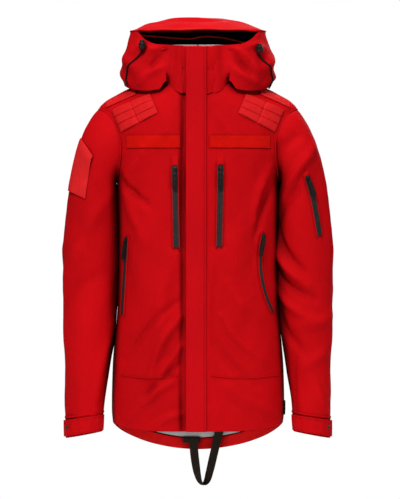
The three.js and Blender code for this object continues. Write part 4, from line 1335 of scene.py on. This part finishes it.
def zip_surface(name, t, across):
    t = np.asarray(t, float)
    if name == "sleeve_zip":
        angle = lerp(*SLEEVE_ZIP_ANGLES, t) - across / SLEEVE_RADIUS
        return sleeve_point(1, lerp(*SLEEVE_ZIP_STATIONS, t), angle)
    data = FRONT_ZIPS[name]
    return torso_across(data["side"] * quadratic(data["x"], t) + across, lerp(*data["z"], t), True)


def zip_frame(name, t):
    """Origin, across, up and out at a place along a zip."""
    step = 0.02
    up = unit(zip_surface(name, t - step, 0.0) - zip_surface(name, t + step, 0.0))
    out = unit(np.cross(zip_surface(name, t, 2.0) - zip_surface(name, t, -2.0), up))
    if out[1] > 0:
        out = -out
    return zip_surface(name, t, 0.0), np.cross(up, out), up, out


def zip_cloth(name, piece, ends, reach, size, height, material, **options):
    """A strip beside a zip, raised by a height that depends on t and the distance across."""
    u, v = shares(*size)
    t, across = lerp(*ends, v), lerp(*reach, u)
    grid = zip_surface(name, t, across)
    if np.mean(patch_normals(grid)[..., 1]) > 0:
        grid, t, across = grid[:, ::-1], t[:, ::-1], across[:, ::-1]
    cloth_piece(f"{name}_{piece}", raised(grid, height(t, across)), material, body=zip_body(name), **options)


def make_zip(name):
    half = FRONT_ZIPS[name]["half"] if name in FRONT_ZIPS else SLEEVE_ZIP_HALF

    def film(t, a):
        return 1.75 - 0.7 * bell(a, 0.55) - 0.5 * smooth(np.abs(a), half - 1.5, half)
    zip_cloth(name, "film", (1, 0), (-half, half), (150, 24), film, zip_tape_film, node=f"{name}_tape",
              slot="tape", thickness=1.0, hem=0)
    for index, edge in enumerate((-1, 1)):
        middle = edge * (half + 0.1)
        zip_cloth(name, f"welt_{index}", (1.03, -0.03), (middle - 1.4, middle + 1.4), (120, 6),
                  lambda t, a, m=middle: 1.5 - 1.1 * ((a - m) / 1.4) ** 2, shell_cloth, hem=0)
        line = zip_surface(name, np.linspace(-0.02, 1.02, 90), edge * (half + 4.0))
        out = np.broadcast_to(zip_frame(name, 0.5)[3], line.shape)
        stitch_row(f"{name}_stitches_{index}", line, out, zip_body(name))
    wide = half > 5
    if wide:
        make_garage(name, half)
    make_slider(name, 11 if wide else 8.6)
    make_pull(name, 10.2 if wide else 7.2)


def make_pocket_zips():
    for name in (*FRONT_ZIPS, "sleeve_zip"):
        make_zip(name)


def make_garage(name, half):
    """A small hood of cloth over the closed end of the zip."""
    def arch(t, a):
        return 0.3 + 2.4 * np.sqrt(np.clip(1 - (a / (half + 0.7)) ** 2, 0, 1)) * smooth(t, -0.14, -0.02)
    zip_cloth(name, "garage", (0.0, -0.13), (-half - 0.6, half + 0.6), (26, 22), arch, shell_cloth,
              thickness=1.0, hem=0.3)


def make_slider(name, wide):
    body = plate((wide, wide * 0.72, 6.5, -6.5, 2.4), 3.4, 5.0, 0.5)
    crown = plate((wide * 0.62, wide * 0.5, 4.5, -5.6, 1.6), 4.8, 5.8, 0.35)
    bridge = plate((2.6, 2.6, 3.8, -4.6, 1.0), 5.6, 6.5, 0.3)
    plates_piece(f"{name}_slider_body", zip_frame(name, ZIP_START), [body, crown, bridge], slider_metal,
                 f"{name}_slider", f"{name}_slider")


MAIN_SLIDER_Z = 45.0


def make_main_slider():
    """The main zip's slider at the top of the closure, behind the storm flap."""
    place = (closure_point(0.0, 0.0, MAIN_SLIDER_Z), AXES[0], -CLOSURE_DOWN, CLOSURE_OUT)
    wings = plate((10.6, 7.6, 6.6, -6.6, 2.4), -1.1, 0.6, 0.5)
    crown = plate((8.6, 6.4, 5.6, -5.8, 2.0), 0.5, 1.6, 0.4)
    bridge = plate((3.0, 3.0, 4.4, -5.0, 1.2), 1.5, 2.9, 0.4)
    plates_piece("main_zip_slider_body", place, [wings, crown, bridge], slider_metal, "main_zip_slider",
                 "main_zip_slider")


def make_pull(name, wide):
    """A rubber grip on a short link: ribs across its lower half and a raised rim."""
    link = plate((3.4, 4.4, 0.2, -8.5, 1.2), 7.0, 8.4, 0.4)
    grip = plate((wide * 0.82, wide, -5.5, -40, 2.6), 6.9, 8.7, 0.6)
    rim = plate((wide * 0.5, wide * 0.5, -8.2, -14.5, 1.4), 8.4, 9.3, 0.3)
    tops = [-17.5 - 3 * k for k in range(6)]
    ribs = [plate((wide * 0.66, wide * 0.68, top, top - 1.6, 0.6), 8.5, 9.3, 0.25) for top in tops]
    plates_piece(f"{name}_pull_grip", zip_frame(name, ZIP_START), [link, grip, rim, *ribs], pull_rubber,
                 f"{name}_pull", f"{name}_pull")


# ---------------------------------------------------------------- cuffs, patch, strap, label and loop

def on_sleeve(name, side, stations, angles, size, lift, relief, material, **options):
    """A patch on a sleeve that follows its folds, between two stations and two angles."""
    u, v = shares(*size)
    station = lerp(*stations, v)
    angle = lerp(*angles, mirrored(u, side))
    height = sleeve_relief(side, station, angle) + lift + relief(u, v)
    cloth_piece(name, raised(sleeve_point(side, station, angle), height), material, **options)


TAB_STATIONS, TAB_ANGLES = (11.35, 11.95), (0.05, 2.9)
STUD_STATION, STUD_ANGLE = 11.62, 0.62
# Radius and height of each ring of the stud, and that it has no flutes
STUD_OUTLINE = [(4.4, 3.3, 0), (4.6, 3.9, 0), (4.2, 4.4, 0), (3.2, 4.5, 0), (2.8, 4.1, 0), (1.4, 4.2, 0),
                (0.2, 4.5, 0)]


def make_cuff(side_name, side):
    """The cuff's turned band, the tab across its front and the stud that holds it."""
    tab = f"cuff_tab_{side_name}"
    on_sleeve(f"cuff_band_{side_name}", side, (11.22, 11.3), (-math.pi + 0.01, math.pi - 0.01), (6, 160), 0.9,
              lambda u, v: 0, shell_cloth, body=f"forearm_{side_name}", hem=0.4)
    on_sleeve(f"cuff_tab_cloth_{side_name}", side, TAB_STATIONS, TAB_ANGLES, (26, 120), 3.4,
              lambda u, v: 0.5 * np.sin(u * 40) * np.sin(math.pi * v), shell_cloth, node=tab, body=tab,
              thickness=2.0, hem=0.5)
    for index, station in enumerate((TAB_STATIONS[0] + 0.06, TAB_STATIONS[1] - 0.06)):
        path, out = sleeve_outward(side, np.full(150, station), np.linspace(0.12, 2.84, 150))
        stitch_row(f"cuff_stitches_{index}_{side_name}", path + out * 3.6, out, tab)
    at, out = sleeve_outward(side, np.array(STUD_STATION), np.array(STUD_ANGLE))
    across = unit(np.cross(AXES[2], out))
    place = (at, across, np.cross(out, across), out)
    lathe(f"cuff_stud_{side_name}", STUD_OUTLINE, place, stud_metal, tab, segments=32)


def make_sleeve_patch():
    on_sleeve("sleeve_loop_pile", -1, PATCH_STATIONS, PATCH_ANGLES, (80, 80), 2.4,
              lambda u, v: stitched_edge(u, v, 90, 105, 2.4), patch_pile, node="sleeve_loop_panel",
              slot="loop", body="upper_sleeve_right", thickness=1.3, hem=0.2)


STRAP_Y, STRAP_HALF_WIDTH = 34, 9
# x and z along the strap's middle line
STRAP_ROUTE = [(-9.5, -760), (-9, -772), (-8, -790), (-5, -815), (-1, -838), (4, -853), (11, -859),
               (18, -853), (25, -830), (32, -800), (39, -770), (46, -741)]
ANCHOR_PLACE, ANCHOR_WIDTH, ANCHOR_HEIGHT = np.array([-13.5, 38.4, -764.0]), 37, 12
strap_twist = profile([(0, 0), (0.2, 0.15), (0.5, 1.05), (0.8, 0.3), (1, 0.2)])


def catmull_rom(knots, count):
    """A centripetal curve through the knots, as many points as asked for."""
    padded = np.concatenate([[2 * knots[0] - knots[1]], knots, [2 * knots[-1] - knots[-2]]])
    result = []
    for place in np.linspace(0, len(knots) - 1, count):
        i = min(int(place), len(knots) - 2)
        p = padded[i:i + 4]
        gaps = np.maximum(np.linalg.norm(np.diff(p, axis=0), axis=1), 1e-4) ** 0.5
        at = np.concatenate([[0], np.cumsum(gaps)])
        t = lerp(at[1], at[2], place - i)

        def between(a, b, first, last):
            return lerp(a, b, (t - at[first]) / (at[last] - at[first]))
        a1, a2, a3 = (between(p[k], p[k + 1], k, k + 1) for k in range(3))
        result.append(between(between(a1, a2, 0, 2), between(a2, a3, 1, 3), 1, 2))
    return np.array(result)


def make_strap():
    """The loop of webbing under the tail, a little twisted and cupped, and the tab that it is sewn to."""
    path = catmull_rom(np.array([(x, STRAP_Y, z) for x, z in STRAP_ROUTE], float), 150)
    twist = strap_twist(np.linspace(0, 1, len(path)))
    across = points(np.cos(twist), -np.sin(twist), 0)
    spread = np.linspace(1, -1, 15)
    grid = path[:, None] + across[:, None] * (STRAP_HALF_WIDTH * spread)[None, :, None]
    cupped = np.broadcast_to(0.5 + 0.5 * (1 - spread**2), grid.shape[:2])
    cloth_piece("strap_webbing_loop", raised(grid, cupped), strap_webbing, "tail_strap", "strap",
                "tail_strap", thickness=1.6, hem=0.0)
    place = (ANCHOR_PLACE, AXES[0], AXES[2], -AXES[1])
    anchor = plate((ANCHOR_WIDTH, ANCHOR_WIDTH, ANCHOR_HEIGHT / 2, -ANCHOR_HEIGHT / 2, 1.5), -2, 2, 0.7)
    plates_piece("strap_anchor_tab", place, [anchor], strap_webbing, "jacket_body", "tail_strap_anchor")


LABEL_Z = (-706, -676)


def make_label():
    """A small blank woven label sewn into the side seam."""
    u, v = shares(29, 11)
    z = lerp(*LABEL_Z, v)
    x = half_width(z) - 1.0 + 2.7 * u
    y = RIDGE_Y - 16 - 8 * u + 0.6 * np.sin(v * 9)
    cloth_piece("side_label", points(x, y, z), label_satin, slot="strap", thickness=0.6, hem=0.1)


HANGER_REACH_X, HANGER_REACH_Z, HANGER_Z, HANGER_HALF_WIDTH = 29.2, 10.2, -8.5, 3


def make_hanger():
    """The hanger loop: a band of webbing on edge, bent into a flat ring."""
    def surface(u, v):
        y = lerp(-HANGER_HALF_WIDTH, HANGER_HALF_WIDTH, v)
        return points(HANGER_REACH_X * np.cos(TURN * u), y, HANGER_Z + HANGER_REACH_Z * np.sin(TURN * u))
    cloth_piece("hanger_webbing", grid_of(8, 96, surface, wrap=True), strap_webbing, "hanger_loop", "dark",
                thickness=1.7, hem=0.2, wrap=True)


# ---------------------------------------------------------------- assembly

make_camera()
make_world()
make_floor()
make_lamps()
bpy.context.scene.view_settings.view_transform = "Standard"

for side_name, side in SIDES:
    make_drawcord(side_name, side)
for side_name, side in SIDES:
    for make in (make_front, make_collar, make_sleeve, make_loop_panel, make_webbing, make_overlay,
                 make_pocket_bag, make_armhole_seam, make_cord_lock, make_casing, make_cuff):
        make(side_name, side)
for make in (make_back, make_body_lining, make_hem_facing, make_collar_lining, make_hood, make_piping,
             make_flap, make_placket, make_main_slider, make_pocket_zips, make_sleeve_patch, make_strap,
             make_label, make_hanger):
    make()
for side_name, side in SIDES:
    make_waist_seam(side_name, side)
